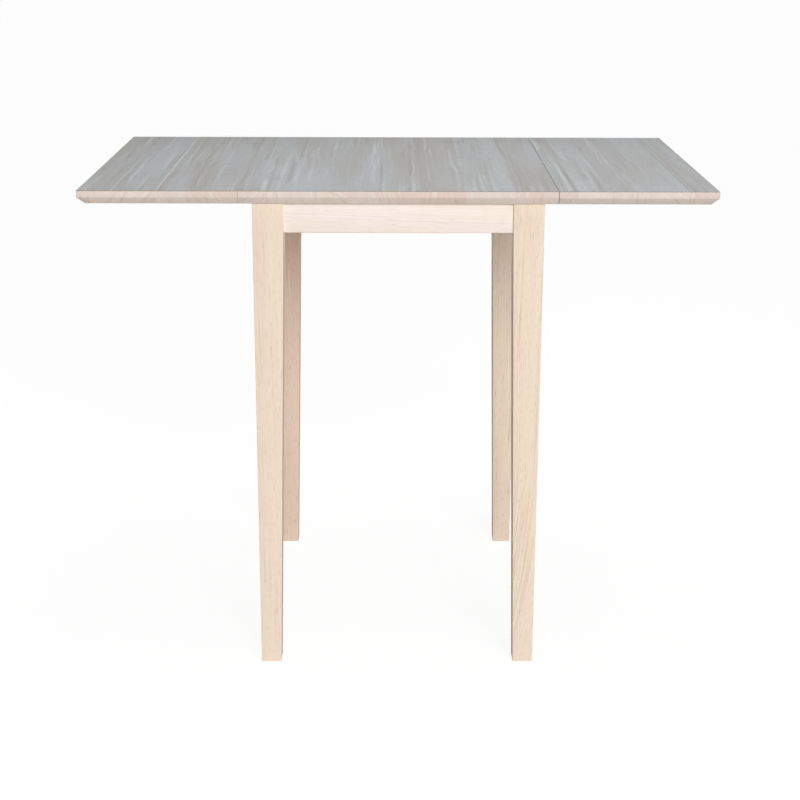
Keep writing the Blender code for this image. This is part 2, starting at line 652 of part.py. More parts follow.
def build_guides(shop, centre_top):
    """Add the two slide guides and their keepers, and bore them and the top for their screws."""
    end_keeper = GUIDE_END_X - KEEPER_WIDTH / 2
    keeper_places = {"right": end_keeper, "middle": 0.0, "left": -end_keeper}
    rail = (GUIDE_WIDTH - GUIDE_OUTER_RAIL) / 2
    size = (SCREW_RADIUS, SCREW_HEAD_RADIUS, SCREW_HEAD_HEIGHT)
    length = UNDERSIDE - (KEEPER_TOP - KEEPER_THICKNESS) + SCREW_BITE
    hole = screw_hole_mesh(*size, length, CUT_OVERRUN)
    axes = []
    held = [centre_top]
    for place, y in (("front", -GUIDE_OFFSET), ("back", GUIDE_OFFSET)):
        matrix = Matrix.Translation((0.0, y, 0.0))
        guide = shop.piece(f"{place}_slide_guide", guide_mesh(), WOOD, matrix)
        channels = [(channel_mesh(offset), matrix) for offset in (-CHANNEL_PITCH / 2, CHANNEL_PITCH / 2)]
        shape_with(guide, shop.cutter(f"{place}_guide_channels", channels))
        held.append(guide)
        for end, x in keeper_places.items():
            low = (x - KEEPER_WIDTH / 2, -GUIDE_WIDTH / 2, KEEPER_TOP - KEEPER_THICKNESS)
            high = (x + KEEPER_WIDTH / 2, GUIDE_WIDTH / 2, KEEPER_TOP)
            held.append(shop.piece(f"{place}_{end}_keeper", box_mesh(low, high), WOOD, matrix))
            axes += [pointing((x, y + offset, low[2]), (0, 0, -1)) for offset in (-rail, rail)]
    holes = shop.cutter("guide_screw_holes", [(hole, axis) for axis in axes])
    for piece in held:
        shape_with(piece, holes)


def main():
    """Build the table."""
    clear_scene()
    shop = Workshop()
    half = SEAM_X - SEAM_GAP / 2
    matrix = Matrix.Translation((0.0, 0.0, UNDERSIDE))
    centre_top = shop.piece("centre_top", panel_mesh(-half, half, False), GREY_WOOD, matrix)
    shape_with(centre_top, build_frame(shop))
    build_guides(shop, centre_top)
    for side in ("right", "left"):
        build_side(shop, side, centre_top)


main()
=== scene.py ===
"""Looks of a drop-leaf dining table in bare hardwood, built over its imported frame.

Lengths are metres in the frame's own axes: X runs along the top through both leaves, -Y is the front
and Z is up. The wood is redrawn with eased edges and glued-up boards, the hinges, bolts and screws with
their rolled, threaded and recessed shapes, and every surface gets the finish of its wood or metal.
"""
import json
import logging
import math
from collections.abc import Sequence
from dataclasses import dataclass, field, replace
from enum import Enum
from functools import cache

import bpy
import numpy as np
from mathutils import Matrix, Vector

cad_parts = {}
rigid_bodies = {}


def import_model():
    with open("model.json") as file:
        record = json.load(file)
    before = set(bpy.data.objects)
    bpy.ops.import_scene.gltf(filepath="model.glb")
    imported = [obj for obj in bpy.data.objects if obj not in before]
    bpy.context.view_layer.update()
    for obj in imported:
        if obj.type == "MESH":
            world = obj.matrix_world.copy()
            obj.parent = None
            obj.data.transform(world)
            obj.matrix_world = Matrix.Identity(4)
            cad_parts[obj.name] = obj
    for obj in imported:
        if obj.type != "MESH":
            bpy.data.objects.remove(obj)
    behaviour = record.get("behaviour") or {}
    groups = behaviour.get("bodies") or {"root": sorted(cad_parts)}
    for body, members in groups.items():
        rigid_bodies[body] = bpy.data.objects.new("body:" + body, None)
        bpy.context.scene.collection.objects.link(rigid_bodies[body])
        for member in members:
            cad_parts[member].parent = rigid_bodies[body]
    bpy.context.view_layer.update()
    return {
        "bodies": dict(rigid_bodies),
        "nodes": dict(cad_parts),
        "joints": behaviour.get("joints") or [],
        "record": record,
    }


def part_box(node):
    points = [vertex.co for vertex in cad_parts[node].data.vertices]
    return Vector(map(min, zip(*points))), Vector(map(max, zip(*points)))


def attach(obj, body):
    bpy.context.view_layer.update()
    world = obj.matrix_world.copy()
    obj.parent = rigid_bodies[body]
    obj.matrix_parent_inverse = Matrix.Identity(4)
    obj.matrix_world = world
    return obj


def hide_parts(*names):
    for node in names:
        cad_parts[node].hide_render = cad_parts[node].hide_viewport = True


LOG = logging.getLogger("table")
MM = 0.001
FRAME_PIXELS = 800
SENSOR_MM = 36.0

# Steps of an eased arris, and the share of its radius that the ends of a stick are drawn in by
EASE_STEPS = 3
END_EASE = 0.8
# Faces that meet more sharply than this show an edge
EDGE_ANGLE = math.radians(38)
# A rounded end starts this many radians from its pole, where a small flat closes it
DOME_START = 0.1
# Boards that were glued up side by side are cut from places this far apart in the log
BOARD_SHIFT = 3.0


class Axis(Enum):
    """The axis that grain, a stick or a brushed surface runs along."""

    X = 0
    Y = 1
    Z = 2


class Side(Enum):
    """The end of the table that a leaf hangs from, by the sign of its X."""

    LEFT = -1
    RIGHT = 1

    def ends(self, low: Vector, high: Vector) -> tuple[float, float]:
        """Return the X of a box's inner end and of its outer end."""
        return (low.x, high.x) if self is Side.RIGHT else (high.x, low.x)


@dataclass
class Shape:
    """A surface before it becomes a mesh.

    Attributes:
        points: Corner points, one row each.
        quads: Corner numbers of the four-sided faces.
        caps: Corner numbers of the many-sided end faces.
        marks: A value for every quad, by the mark's name.
        finish: Number of the finish of every quad, where a shape has more than one.
    """

    points: np.ndarray
    quads: np.ndarray
    caps: list[np.ndarray] = field(default_factory=list)
    marks: dict[str, np.ndarray] = field(default_factory=dict)
    finish: np.ndarray | None = None

    def placed(self, matrix: Matrix) -> "Shape":
        """Return the shape carried to its place by a matrix."""
        points = self.points @ np.array(matrix.to_3x3()).T + np.array(matrix.translation)
        return Shape(points, self.quads, self.caps, self.marks, self.finish)

    def along(self, axis: Axis) -> "Shape":
        """Return the shape with its Z laid along an axis, its X and Y following in turn."""
        points = np.roll(self.points, axis.value - Axis.Z.value, axis=1)
        return Shape(points, self.quads, self.caps, self.marks, self.finish)


def joined(shapes: Sequence[Shape]) -> Shape:
    """Put several shapes of one finish into one.

    Args:
        shapes: The shapes, each closed by itself.

    Returns:
        One shape of them all, without marks.
    """
    starts = np.cumsum([0] + [len(shape.points) for shape in shapes])
    quads = [shape.quads + start for shape, start in zip(shapes, starts)]
    caps = [cap + start for shape, start in zip(shapes, starts) for cap in shape.caps]
    return Shape(np.concatenate([shape.points for shape in shapes]), np.concatenate(quads), caps)


def tube_quads(rows: int, columns: int, ring: bool = False) -> np.ndarray:
    """Number the quads of a grid whose columns close round a tube.

    Args:
        rows: Rows of points along the tube.
        columns: Points round each row.
        ring: Whether the last row meets the first.

    Returns:
        Corner numbers, one face per line, facing out where rows rise and columns run anticlockwise.
    """
    row = np.arange(rows if ring else rows - 1)[:, None]
    column = np.arange(columns)[None, :]
    here = row * columns
    above = (row + 1) % rows * columns
    beside = (column + 1) % columns
    corners = (here + column, here + beside, above + beside, above + column)
    return np.stack(np.broadcast_arrays(*corners), axis=-1).reshape(-1, 4)


def tube(points: np.ndarray, ring: bool = False) -> Shape:
    """Close a grid of points into a tube, capped at its ends unless it is a ring.

    Args:
        points: Grid of rows, columns and coordinates.
        ring: Whether the last row meets the first.

    Returns:
        The closed shape.
    """
    rows, columns = points.shape[:2]
    first = np.arange(columns)
    caps = [] if ring else [first[::-1], first + (rows - 1) * columns]
    return Shape(points.reshape(-1, 3), tube_quads(rows, columns, ring), caps)


def turned(radius: np.ndarray, height: np.ndarray, columns: int, ring: bool = False) -> Shape:
    """Turn a profile about Z: a point lies at its radius along the column's angle, at its height.

    Args:
        radius: Radius of each row, or of each row and column.
        height: Height of each row, or of each row and column.
        columns: Points round a row.
        ring: Whether the profile closes on itself.

    Returns:
        The turned shape.
    """
    angle = angles(columns)
    radius, height = (np.asarray(v, float) if np.ndim(v) == 2 else np.asarray(v, float)[:, None]
                      for v in (radius, height))
    grid = (radius * np.cos(angle), radius * np.sin(angle), height + 0.0 * angle)
    return tube(np.stack(np.broadcast_arrays(*grid), axis=-1), ring)


def angles(columns: int) -> np.ndarray:
    """Return the angles of the columns of a turned shape, as one row."""
    return np.linspace(0.0, 2 * math.pi, columns, endpoint=False)[None, :]


def arcs(corners: np.ndarray, radii: np.ndarray, steps: int) -> tuple[np.ndarray, np.ndarray, np.ndarray]:
    """Round the corners of a closed outline with arcs tangent to both edges.

    An arc's centre lies beside the arriving edge, a radius to the inner side of the turn, and its arm
    turns through the corner's own turn in equal steps.

    Args:
        corners: Corners in order, one (u, v) row each, with the inside on the left.
        radii: Radius of each corner's arc.
        steps: Steps of an arc.

    Returns:
        For each outline point its arc's centre, its arm from there, and +1 or -1 for a left or right turn.
    """
    leaving = np.roll(corners, -1, axis=0) - corners
    leaving = leaving / np.linalg.norm(leaving, axis=1, keepdims=True)
    arriving = np.roll(leaving, 1, axis=0)
    left = np.stack([-arriving[:, 1], arriving[:, 0]], axis=1)
    turn = np.arctan2((left * leaving).sum(1), (arriving * leaving).sum(1))
    side = np.sign(turn)
    start = corners - arriving * (radii * np.tan(np.abs(turn) / 2))[:, None]
    centre = start + left * (radii * side)[:, None]
    angle = (turn[:, None] * np.linspace(0.0, 1.0, steps + 1))[..., None]
    arm = (start - centre)[:, None, :]
    across = np.stack([-arm[..., 1], arm[..., 0]], axis=-1)
    arms = arm * np.cos(angle) + across * np.sin(angle)
    return np.repeat(centre, steps + 1, axis=0), arms.reshape(-1, 2), np.repeat(side, steps + 1)


def eased_stick(corners: Sequence[tuple[float, float]], low: float, high: float, ease: float,
                levels: Sequence[float] = (), end_ease: float = END_EASE) -> Shape:
    """Carry an outline with rounded corners from one height to another, and ease its two ends.

    At an end each row is drawn in by the end's ease times one minus the sine of a quarter turn, while
    its height moves by one minus the cosine.

    Args:
        corners: Outline corners, with the inside on the left.
        low: Height of the lower end.
        high: Height of the upper end.
        ease: Radius of the eased edges.
        levels: Heights of further rows between the ends.
        end_ease: Share of the radius that the ends are eased by.

    Returns:
        The closed stick along Z, whose eased faces are marked as arris.
    """
    outline = np.asarray(corners, float)
    centre, arm, side = arcs(outline, np.full(len(outline), ease), EASE_STEPS)
    turn = np.linspace(0.0, math.pi / 2, EASE_STEPS + 1)
    inset = end_ease * (1.0 - np.sin(turn))
    rise = end_ease * ease * (1.0 - np.cos(turn))
    insets = np.concatenate([inset, np.zeros(len(levels)), inset[::-1]])
    heights = np.concatenate([low + rise, np.asarray(levels, float), high - rise[::-1]])
    drawn_in = centre + arm * (1.0 - insets[:, None] * side)[..., None]
    height = np.broadcast_to(heights[:, None, None], (*drawn_in.shape[:2], 1))
    shape = tube(np.concatenate([drawn_in, height], axis=2))
    rows, columns = drawn_in.shape[:2]
    row = np.arange(rows - 1)
    at_end = (row < EASE_STEPS) | (row >= rows - 1 - EASE_STEPS)
    on_arc = np.arange(columns) % (EASE_STEPS + 1) < EASE_STEPS
    shape.marks["arris"] = (at_end[:, None] | on_arc[None, :]).astype(float).ravel()
    return shape


def rectangle(low: Sequence[float], high: Sequence[float]) -> list[tuple[float, float]]:
    """Return the corners of a rectangle between two opposite ones, anticlockwise."""
    return [(low[0], low[1]), (high[0], low[1]), (high[0], high[1]), (low[0], high[1])]


def domed(radius: float, rise: float, steps: int) -> tuple[np.ndarray, np.ndarray]:
    """Round the end of a rod: radius and height follow the sine and one minus the cosine of a quarter turn.

    Args:
        radius: The rod's radius.
        rise: Height of the rounded end.
        steps: Rows of the rounded end.

    Returns:
        The radius of each row from the pole outwards, and its distance in from the pole.
    """
    turn = np.linspace(DOME_START, math.pi / 2, steps)
    return radius * np.sin(turn), rise * (1.0 - np.cos(turn))


def thread(angle: np.ndarray, height: np.ndarray, pitch: float, root: float) -> np.ndarray:
    """Draw a screw thread, a triangle wave that climbs a pitch in a turn.

    Args:
        angle: Angle of each column.
        height: Height of each row.
        pitch: Climb of the thread in one turn.
        root: Share of the radius that is left at the thread's root.

    Returns:
        The share of the radius at each row and column, from the root to 1 at the crest.
    """
    phase = (height / pitch - angle / (2 * math.pi)) % 1.0
    return root + (1.0 - root) * (1.0 - np.abs(2.0 * phase - 1.0))


def pointing(place: Sequence[float], head: Sequence[float]) -> Matrix:
    """Return the matrix that carries the Z axis at the origin to a place, along a direction."""
    return Matrix.Translation(place) @ Vector(head).to_track_quat("Z", "Y").to_matrix().to_4x4()


def linear(colour: str) -> tuple[float, float, float, float]:
    """Turn an sRGB hex colour into the linear colour that a shader takes."""
    shares = (int(colour[i:i + 2], 16) / 255 for i in (1, 3, 5))
    return (*(s / 12.92 if s <= 0.04045 else ((s + 0.055) / 1.055) ** 2.4 for s in shares), 1.0)


def add_node(tree: bpy.types.NodeTree, kind: str, settings: dict | None = None,
             links: dict | None = None) -> bpy.types.Node:
    """Add a node with its settings and links.

    Args:
        tree: Tree that takes the node.
        kind: Blender's name for the kind of node.
        settings: Values by property name, or by the name or number of an input.
        links: Sockets to link from, by the name or number of an input.

    Returns:
        The new node.
    """
    node = tree.nodes.new(kind)
    for name, value in (settings or {}).items():
        if isinstance(name, str) and name in node.bl_rna.properties:
            setattr(node, name, value)
        else:
            node.inputs[name].default_value = value
    for name, source in (links or {}).items():
        tree.links.new(source, node.inputs[name])
    return node


def new_material(name: str) -> tuple[bpy.types.Material, bpy.types.NodeTree]:
    """Make a material that has no nodes yet.

    Args:
        name: The material's name.

    Returns:
        The material and its empty tree.
    """
    material = bpy.data.materials.new(name)
    material.use_nodes = True
    material.node_tree.nodes.clear()
    return material, material.node_tree


@dataclass(frozen=True)
class Layer:
    """Noise whose marks have a real width across the grain and a real length along it.

    On end grain the marks are as wide both ways, or longer one way, along the growth rings.
    """

    across_mm: float
    along_mm: float
    detail: float
    ring_mm: float | None = None

    def add(self, tree: bpy.types.NodeTree, place: bpy.types.NodeSocket,
            grain: Axis) -> bpy.types.NodeSocket:
        """Add the layer's noise to a tree.

        Args:
            tree: Tree that takes the nodes.
            place: Coordinates of the surface, in metres.
            grain: Axis that the marks run along.

        Returns:
            The socket of the noise, from 0 to 1.
        """
        size = [self.across_mm * MM] * 3
        size[Axis.Y.value if grain is Axis.Z else Axis.Z.value] = (self.ring_mm or self.across_mm) * MM
        size[grain.value] = self.along_mm * MM
        scaled = add_node(tree, "ShaderNodeMapping", {"Scale": [1.0 / s for s in size]}, {"Vector": place})
        noise = add_node(tree, "ShaderNodeTexNoise", {"Scale": 1.0, "Detail": self.detail},
                         {"Vector": scaled.outputs[0]})
        return noise.outputs["Fac"]


def stained(tree: bpy.types.NodeTree, under: bpy.types.NodeSocket, source: bpy.types.NodeSocket,
            span: tuple[float, float], strength: float, colour: str) -> bpy.types.NodeSocket:
    """Lay a colour over another where a source rises through a span.

    Args:
        tree: Tree that takes the nodes.
        under: The colour so far.
        source: Pattern or mark that places the stain.
        span: Source values where the stain starts and where it is full.
        strength: Share of the stain where it is full.
        colour: The stain's hex colour.

    Returns:
        The socket of the mixed colour.
    """
    share = add_node(tree, "ShaderNodeMapRange",
                     {"From Min": span[0], "From Max": span[1], "To Max": strength}, {"Value": source})
    mixed = add_node(tree, "ShaderNodeMix", {"data_type": "RGBA", 7: linear(colour)},
                     {0: share.outputs[0], 6: under})
    return mixed.outputs[2]


@dataclass(frozen=True)
class SandedHardwood:
    """Plantation hardwood, planed and sanded: cream with pinkish figure, long streaks and short open pores.

    The streaks stand out in bundles, where the saw met the growth layers, and fade between them. The
    sanded fibres scatter light, so it is matt with a weak gloss. Real pores are about 0.2 mm wide; they are
    drawn coarser so that they show at the size of the render.
    """

    name: str
    grain: Axis
    base: str
    figure: str
    warm: str
    cool: str
    dark: str
    light: str
    pore: str
    contrast: float = 1.0
    board_contrast: float = 0.35
    glue: str = "#F3E9DC"
    gap: str = "#A58A70"
    arris: str = "#B79C80"
    arris_share: float = 0.25
    slant: float = 0.0
    bend: float = 0.0
    bend_height: float = 0.36
    sway_mm: float = 5.0
    ring_turn: float = 0.0
    figure_layer: Layer = Layer(15.0, 170.0, 2.0)
    streak_layer: Layer = Layer(2.6, 190.0, 4.0)
    bundle_layer: Layer = Layer(24.0, 320.0, 1.0)
    pore_layer: Layer = Layer(0.9, 13.0, 1.0)
    wave_layer: Layer = Layer(60.0, 240.0, 0.0)
    rough: tuple[float, float] = (0.60, 0.74)
    gloss: float = 0.25
    relief: float = 0.15
    relief_mm: float = 0.4

    @cache
    def material(self) -> bpy.types.Material:
        """Make the material of this wood, at its first use.

        The colour starts from the base and takes each figure, streak, pore and mark as a stain.

        Returns:
            The material.
        """
        material, tree = new_material(self.name)
        place = self.place(tree)
        layers = (self.figure_layer, self.streak_layer, self.bundle_layer, self.pore_layer)
        figure, lines, bundle, pore = (layer.add(tree, place, self.grain) for layer in layers)
        share = add_node(tree, "ShaderNodeMapRange", {"From Min": 0.35, "From Max": 0.60, "To Min": 0.25},
                         {"Value": bundle})
        streak = add_node(tree, "ShaderNodeMix", {2: 0.5}, {0: share.outputs[0], 3: lines}).outputs[0]
        marks = {name: add_node(tree, "ShaderNodeAttribute", {"attribute_name": name}).outputs["Fac"]
                 for name in ("tone", "warmth", "joint", "arris")}
        start = add_node(tree, "ShaderNodeRGB")
        start.outputs[0].default_value = linear(self.base)
        colour = start.outputs[0]
        for source, span, strength, shade in (
            (figure, (0.40, 0.62), 0.9, self.figure),
            (marks["warmth"], (0.0, 1.0), 2.0 * self.board_contrast, self.warm),
            (marks["warmth"], (0.0, -1.0), 2.0 * self.board_contrast, self.cool),
            (marks["tone"], (0.0, 1.0), self.board_contrast, self.light),
            (marks["tone"], (0.0, -1.0), self.board_contrast, self.dark),
            (streak, (0.54, 0.74), 0.8 * self.contrast, self.dark),
            (streak, (0.46, 0.26), 0.8 * self.contrast, self.light),
            (pore, (0.58, 0.72), 0.5 * self.contrast, self.pore),
            (marks["joint"], (0.0, 1.0), 1.0, self.glue),
            (marks["joint"], (0.0, -1.0), 1.0, self.gap),
            (marks["arris"], (0.0, 1.0), self.arris_share, self.arris),
        ):
            colour = stained(tree, colour, source, span, strength, shade)
        rough = add_node(tree, "ShaderNodeMapRange", {"To Min": self.rough[0], "To Max": self.rough[1]},
                         {"Value": streak})
        relief = add_node(tree, "ShaderNodeMath", {"operation": "SUBTRACT"}, {0: streak, 1: pore})
        bump = add_node(tree, "ShaderNodeBump", {"Strength": self.relief, "Distance": self.relief_mm * MM},
                        {"Height": relief.outputs[0]})
        shader = add_node(tree, "ShaderNodeBsdfPrincipled", {"Specular IOR Level": self.gloss},
                          {"Base Color": colour, "Roughness": rough.outputs[0], "Normal": bump.outputs[0]})
        add_node(tree, "ShaderNodeOutputMaterial", {}, {"Surface": shader.outputs[0]})
        return material

    def place(self, tree: bpy.types.NodeTree) -> bpy.types.NodeSocket:
        """Add the coordinates of the wood: each board from its own part of the log, gently waved.

        Args:
            tree: Tree that takes the nodes.

        Returns:
            The socket of the coordinates, in metres.
        """
        here = add_node(tree, "ShaderNodeTexCoord").outputs["Object"]
        turned_grain = add_node(tree, "ShaderNodeMapping", {"Rotation": (0.0, self.slant, 0.0)},
                                {"Vector": here})
        board = add_node(tree, "ShaderNodeAttribute", {"attribute_name": "board"})
        log_place = add_node(tree, "ShaderNodeTexWhiteNoise", {"noise_dimensions": "1D"},
                             {"W": board.outputs["Fac"]})
        turn = add_node(tree, "ShaderNodeMapRange", {"To Min": -self.ring_turn, "To Max": self.ring_turn},
                        {"Value": log_place.outputs["Value"]})
        ring_turn = add_node(tree, "ShaderNodeCombineXYZ", {}, {self.grain.value: turn.outputs[0]})
        swung = self.swung(tree, turned_grain.outputs[0]) if self.bend else turned_grain.outputs[0]
        turned_rings = add_node(tree, "ShaderNodeMapping", {},
                                {"Vector": swung, "Rotation": ring_turn.outputs[0]})
        moved = add_node(tree, "ShaderNodeVectorMath", {"operation": "MULTIPLY_ADD", 1: [BOARD_SHIFT] * 3},
                         {0: log_place.outputs["Color"], 2: turned_rings.outputs[0]})
        wave = self.wave_layer.add(tree, moved.outputs[0], self.grain)
        sway = [self.sway_mm * MM] * 3
        sway[self.grain.value] = 0.0
        waved = add_node(tree, "ShaderNodeVectorMath", {"operation": "MULTIPLY_ADD", 1: sway},
                         {0: wave, 2: moved.outputs[0]})
        return waved.outputs[0]

    def swung(self, tree: bpy.types.NodeTree, place: bpy.types.NodeSocket) -> bpy.types.NodeSocket:
        """Swing upright grain aside towards the floor, along a parabola that starts at the bend height.

        Args:
            tree: Tree that takes the nodes.
            place: Coordinates of the surface, in metres.

        Returns:
            The socket of the coordinates with X moved aside.
        """
        height = add_node(tree, "ShaderNodeSeparateXYZ", {}, {0: place}).outputs[Axis.Z.value]
        depth = add_node(tree, "ShaderNodeMapRange", {"From Min": self.bend_height, "From Max": 0.0},
                         {"Value": height})
        square = add_node(tree, "ShaderNodeMath", {"operation": "POWER", 1: 2.0}, {0: depth.outputs[0]})
        aside = add_node(tree, "ShaderNodeMath",
                         {"operation": "MULTIPLY", 1: 0.5 * self.bend * self.bend_height},
                         {0: square.outputs[0]})
        move = add_node(tree, "ShaderNodeCombineXYZ", {}, {0: aside.outputs[0]})
        moved = add_node(tree, "ShaderNodeVectorMath", {"operation": "ADD"}, {0: place, 1: move.outputs[0]})
        return moved.outputs[0]


@dataclass(frozen=True)
class PlatedMetal:
    """Rolled or drawn metal with a thin plating: fine lines along it, and dull patches of handling."""

    name: str
    grain: Axis
    bright: str
    dull: str
    rough: tuple[float, float]
    # Real drawing lines are a few hundredths of a millimetre wide; these are coarse enough to show close up
    lines: Layer = Layer(0.35, 22.0, 2.0)
    patches: Layer = Layer(7.0, 11.0, 3.0)
    relief: float = 0.10
    relief_mm: float = 0.1

    @cache
    def material(self) -> bpy.types.Material:
        """Make the material of this metal, at its first use.

        Returns:
            The material.
        """
        material, tree = new_material(self.name)
        here = add_node(tree, "ShaderNodeTexCoord").outputs["Object"]
        lines = self.lines.add(tree, here, self.grain)
        patches = self.patches.add(tree, here, self.grain)
        start = add_node(tree, "ShaderNodeRGB")
        start.outputs[0].default_value = linear(self.bright)
        colour = stained(tree, start.outputs[0], patches, (0.42, 0.70), 0.9, self.dull)
        colour = stained(tree, colour, lines, (0.55, 0.80), 0.4, self.dull)
        rough = add_node(tree, "ShaderNodeMapRange",
                         {"From Min": 0.3, "From Max": 0.7, "To Min": self.rough[0],
                          "To Max": self.rough[1]}, {"Value": patches})
        bump = add_node(tree, "ShaderNodeBump", {"Strength": self.relief, "Distance": self.relief_mm * MM},
                        {"Height": lines})
        shader = add_node(tree, "ShaderNodeBsdfPrincipled", {"Metallic": 1.0},
                          {"Base Color": colour, "Roughness": rough.outputs[0], "Normal": bump.outputs[0]})
        add_node(tree, "ShaderNodeOutputMaterial", {}, {"Surface": shader.outputs[0]})
        return material


Finish = SandedHardwood | PlatedMetal


def cream_wood(name: str, slant: float, contrast: float, bend: float) -> SandedHardwood:
    """Choose the cream wood of a leg.

    Args:
        name: The material's name.
        slant: Lean of the grain from upright, in radians.
        contrast: Strength of its streaks and pores.
        bend: Further lean of the grain at the foot.

    Returns:
        The wood.
    """
    return SandedHardwood(name, Axis.Z, base="#E8D9C3", figure="#E9D4C5", warm="#E3C4B0", cool="#E8D9BD",
                          dark="#D6BEA6", light="#F0E0CD", pore="#C9AE90", arris="#EFE2CE", slant=slant,
                          contrast=contrast, bend=bend)


def pale_wood(name: str, grain: Axis) -> SandedHardwood:
    """Choose the palest wood, of the aprons.

    Args:
        name: The material's name.
        grain: Axis of the grain.

    Returns:
        The wood.
    """
    return SandedHardwood(name, grain, base="#F1E5D9", figure="#F1E6E1", warm="#F1DED3", cool="#F0E9DB",
                          dark="#DDD0C5", light="#F9F3EF", pore="#E0D1C5", contrast=1.2, slant=-0.018,
                          figure_layer=Layer(22.0, 420.0, 1.0), streak_layer=Layer(2.4, 620.0, 2.0),
                          bundle_layer=Layer(16.0, 700.0, 1.0), pore_layer=Layer(0.9, 24.0, 1.0))


def plain_wood(name: str, grain: Axis) -> SandedHardwood:
    """Choose the plainer wood of the pieces under the top.

    Args:
        name: The material's name.
        grain: Axis of the grain.

    Returns:
        The wood.
    """
    return SandedHardwood(name, grain, base="#E6D0B6", figure="#E3C8B0", warm="#DDBDA4", cool="#E4D3B4",
                          dark="#D0B595", light="#EEDCC6", pore="#BE9F7C")


TOP_FACE = SandedHardwood(
    "grey-washed hardwood, top face", Axis.Y, base="#A5A4A2", figure="#AEB1B4", warm="#A9A39E",
    cool="#A6A9AB", dark="#94918C", light="#C1C4C6", pore="#959390", contrast=0.95, board_contrast=0.16,
    glue="#D6D6D3", gap="#77726B", arris="#7D766E", arris_share=0.75, sway_mm=14.0,
    figure_layer=Layer(46.0, 420.0, 2.0), streak_layer=Layer(6.0, 620.0, 2.0),
    bundle_layer=Layer(34.0, 420.0, 1.0), pore_layer=Layer(1.6, 22.0, 1.0),
    wave_layer=Layer(70.0, 170.0, 1.0), rough=(0.62, 0.74))
TOP_EDGE = SandedHardwood(
    "sanded hardwood, top edges and underside", Axis.Y, base="#DACCC2", figure="#DAC6BE", warm="#E2C8BC",
    cool="#DFD3C5", dark="#CFBBAD", light="#EADDD2", pore="#C4AD9C", board_contrast=0.25,
    glue="#E1D3C8", gap="#CDBAAC", ring_turn=0.9, figure_layer=Layer(7.0, 380.0, 1.0, 60.0),
    streak_layer=Layer(2.6, 190.0, 2.0, 24.0))
# The chamfers are the edge's wood painted paler: painted light, which makes up for the little light that
# reaches these down-facing faces
TOP_CHAMFER_PAINTED_LIGHT = replace(TOP_EDGE, name="sanded hardwood, top chamfers", base="#F0E5DA", figure="#EEDFD5")
LONG_APRON_WOOD = pale_wood("sanded hardwood, front and back aprons", Axis.X)
SIDE_APRON_WOOD = pale_wood("sanded hardwood, side aprons", Axis.Y)
BLOCK_WOOD = plain_wood("sawn hardwood, corner blocks", Axis.X)
RUNNER_WOOD = plain_wood("sanded hardwood, slides and guides", Axis.X)
CROSS_WOOD = plain_wood("sanded hardwood, keepers and ramp blocks", Axis.Y)
DOWEL_WOOD = plain_wood("turned hardwood, stop dowels", Axis.Z)
BRASS = PlatedMetal("brass-plated steel, hinges", Axis.Y, "#C4AE78", "#A8915E", (0.30, 0.44))
ZINC = PlatedMetal("zinc-plated steel, bolts and screws", Axis.Z, "#C6CACC", "#9EA3A8", (0.26, 0.46))


class Bench:
    """Puts shapes into the scene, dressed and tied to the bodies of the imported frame."""

    def __init__(self, frame: dict) -> None:
        """Keep the frame's nodes, and the body of each node.

        Args:
            frame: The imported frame, as it was loaded.
        """
        self.nodes = frame["nodes"]
        bodies = frame["record"]["behaviour"]["bodies"]
        self.body_of = {node: body for body, nodes in bodies.items() for node in nodes}

    def add(self, name: str, shape: Shape, finishes: Sequence[Finish], slot: str, node: str,
            replaces: bool = True) -> None:
        """Make a piece of a shape.

        Args:
            name: The piece's name.
            shape: Its surface, in place.
            finishes: Its finishes, in the order that the shape numbers them.
            slot: Not used.
            node: The node whose body carries it.
            replaces: Whether it stands for that node, and doesn't only sit on it.
        """
        mesh = bpy.data.meshes.new(name)
        faces = shape.quads.tolist() + [cap.tolist() for cap in shape.caps]
        mesh.from_pydata(shape.points.tolist(), [], faces)
        for mark, values in shape.marks.items():
            padded = np.concatenate([values, np.zeros(len(shape.caps))]).astype(np.float32)
            mesh.attributes.new(mark, "FLOAT", "FACE").data.foreach_set("value", padded)
        for finish in finishes:
            mesh.materials.append(finish.material())
        if shape.finish is not None:
            numbers = np.concatenate([shape.finish, np.zeros(len(shape.caps))]).astype(np.int32)
            mesh.polygons.foreach_set("material_index", numbers)
        mesh.shade_smooth()
        mesh.set_sharp_from_angle(angle=EDGE_ANGLE)
        piece = bpy.data.objects.new(name, mesh)
        bpy.context.scene.collection.objects.link(piece)
        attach(piece, self.body_of[node])
        if replaces:
            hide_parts(node)
        LOG.info("%s: %d faces on %s", name, len(faces), self.body_of[node])

    def dress(self, node: str, finish: Finish) -> None:
        """Give a node that stays as it is its finish.

        Args:
            node: The node.
            finish: The finish.
        """
        materials = self.nodes[node].data.materials
        materials.clear()
        materials.append(finish.material())
        LOG.info("%s: dressed in %s", node, finish.name)


@dataclass(frozen=True)
class Board:
    """One board of a glued-up panel: its width, its shade, and how the joint after it shows.

    Tone, warmth and joint run from -1 to 1: dark to light, cool to warm, and dark line to light line.
    """

    width_mm: float
    tone: float
    warmth: float
    joint: float = 0.0


@dataclass(frozen=True)
class Panel:
    """One panel of the top: boards glued side by side from left to right, the last as wide as is left."""

    node: str
    piece: str
    boards: tuple[Board, ...]
    chamfered_left: bool = False
    chamfered_right: bool = False
    # How far the seam edge reaches into the hinge seam, where the leaf closes up tight
    seam_reach: float = 0.0


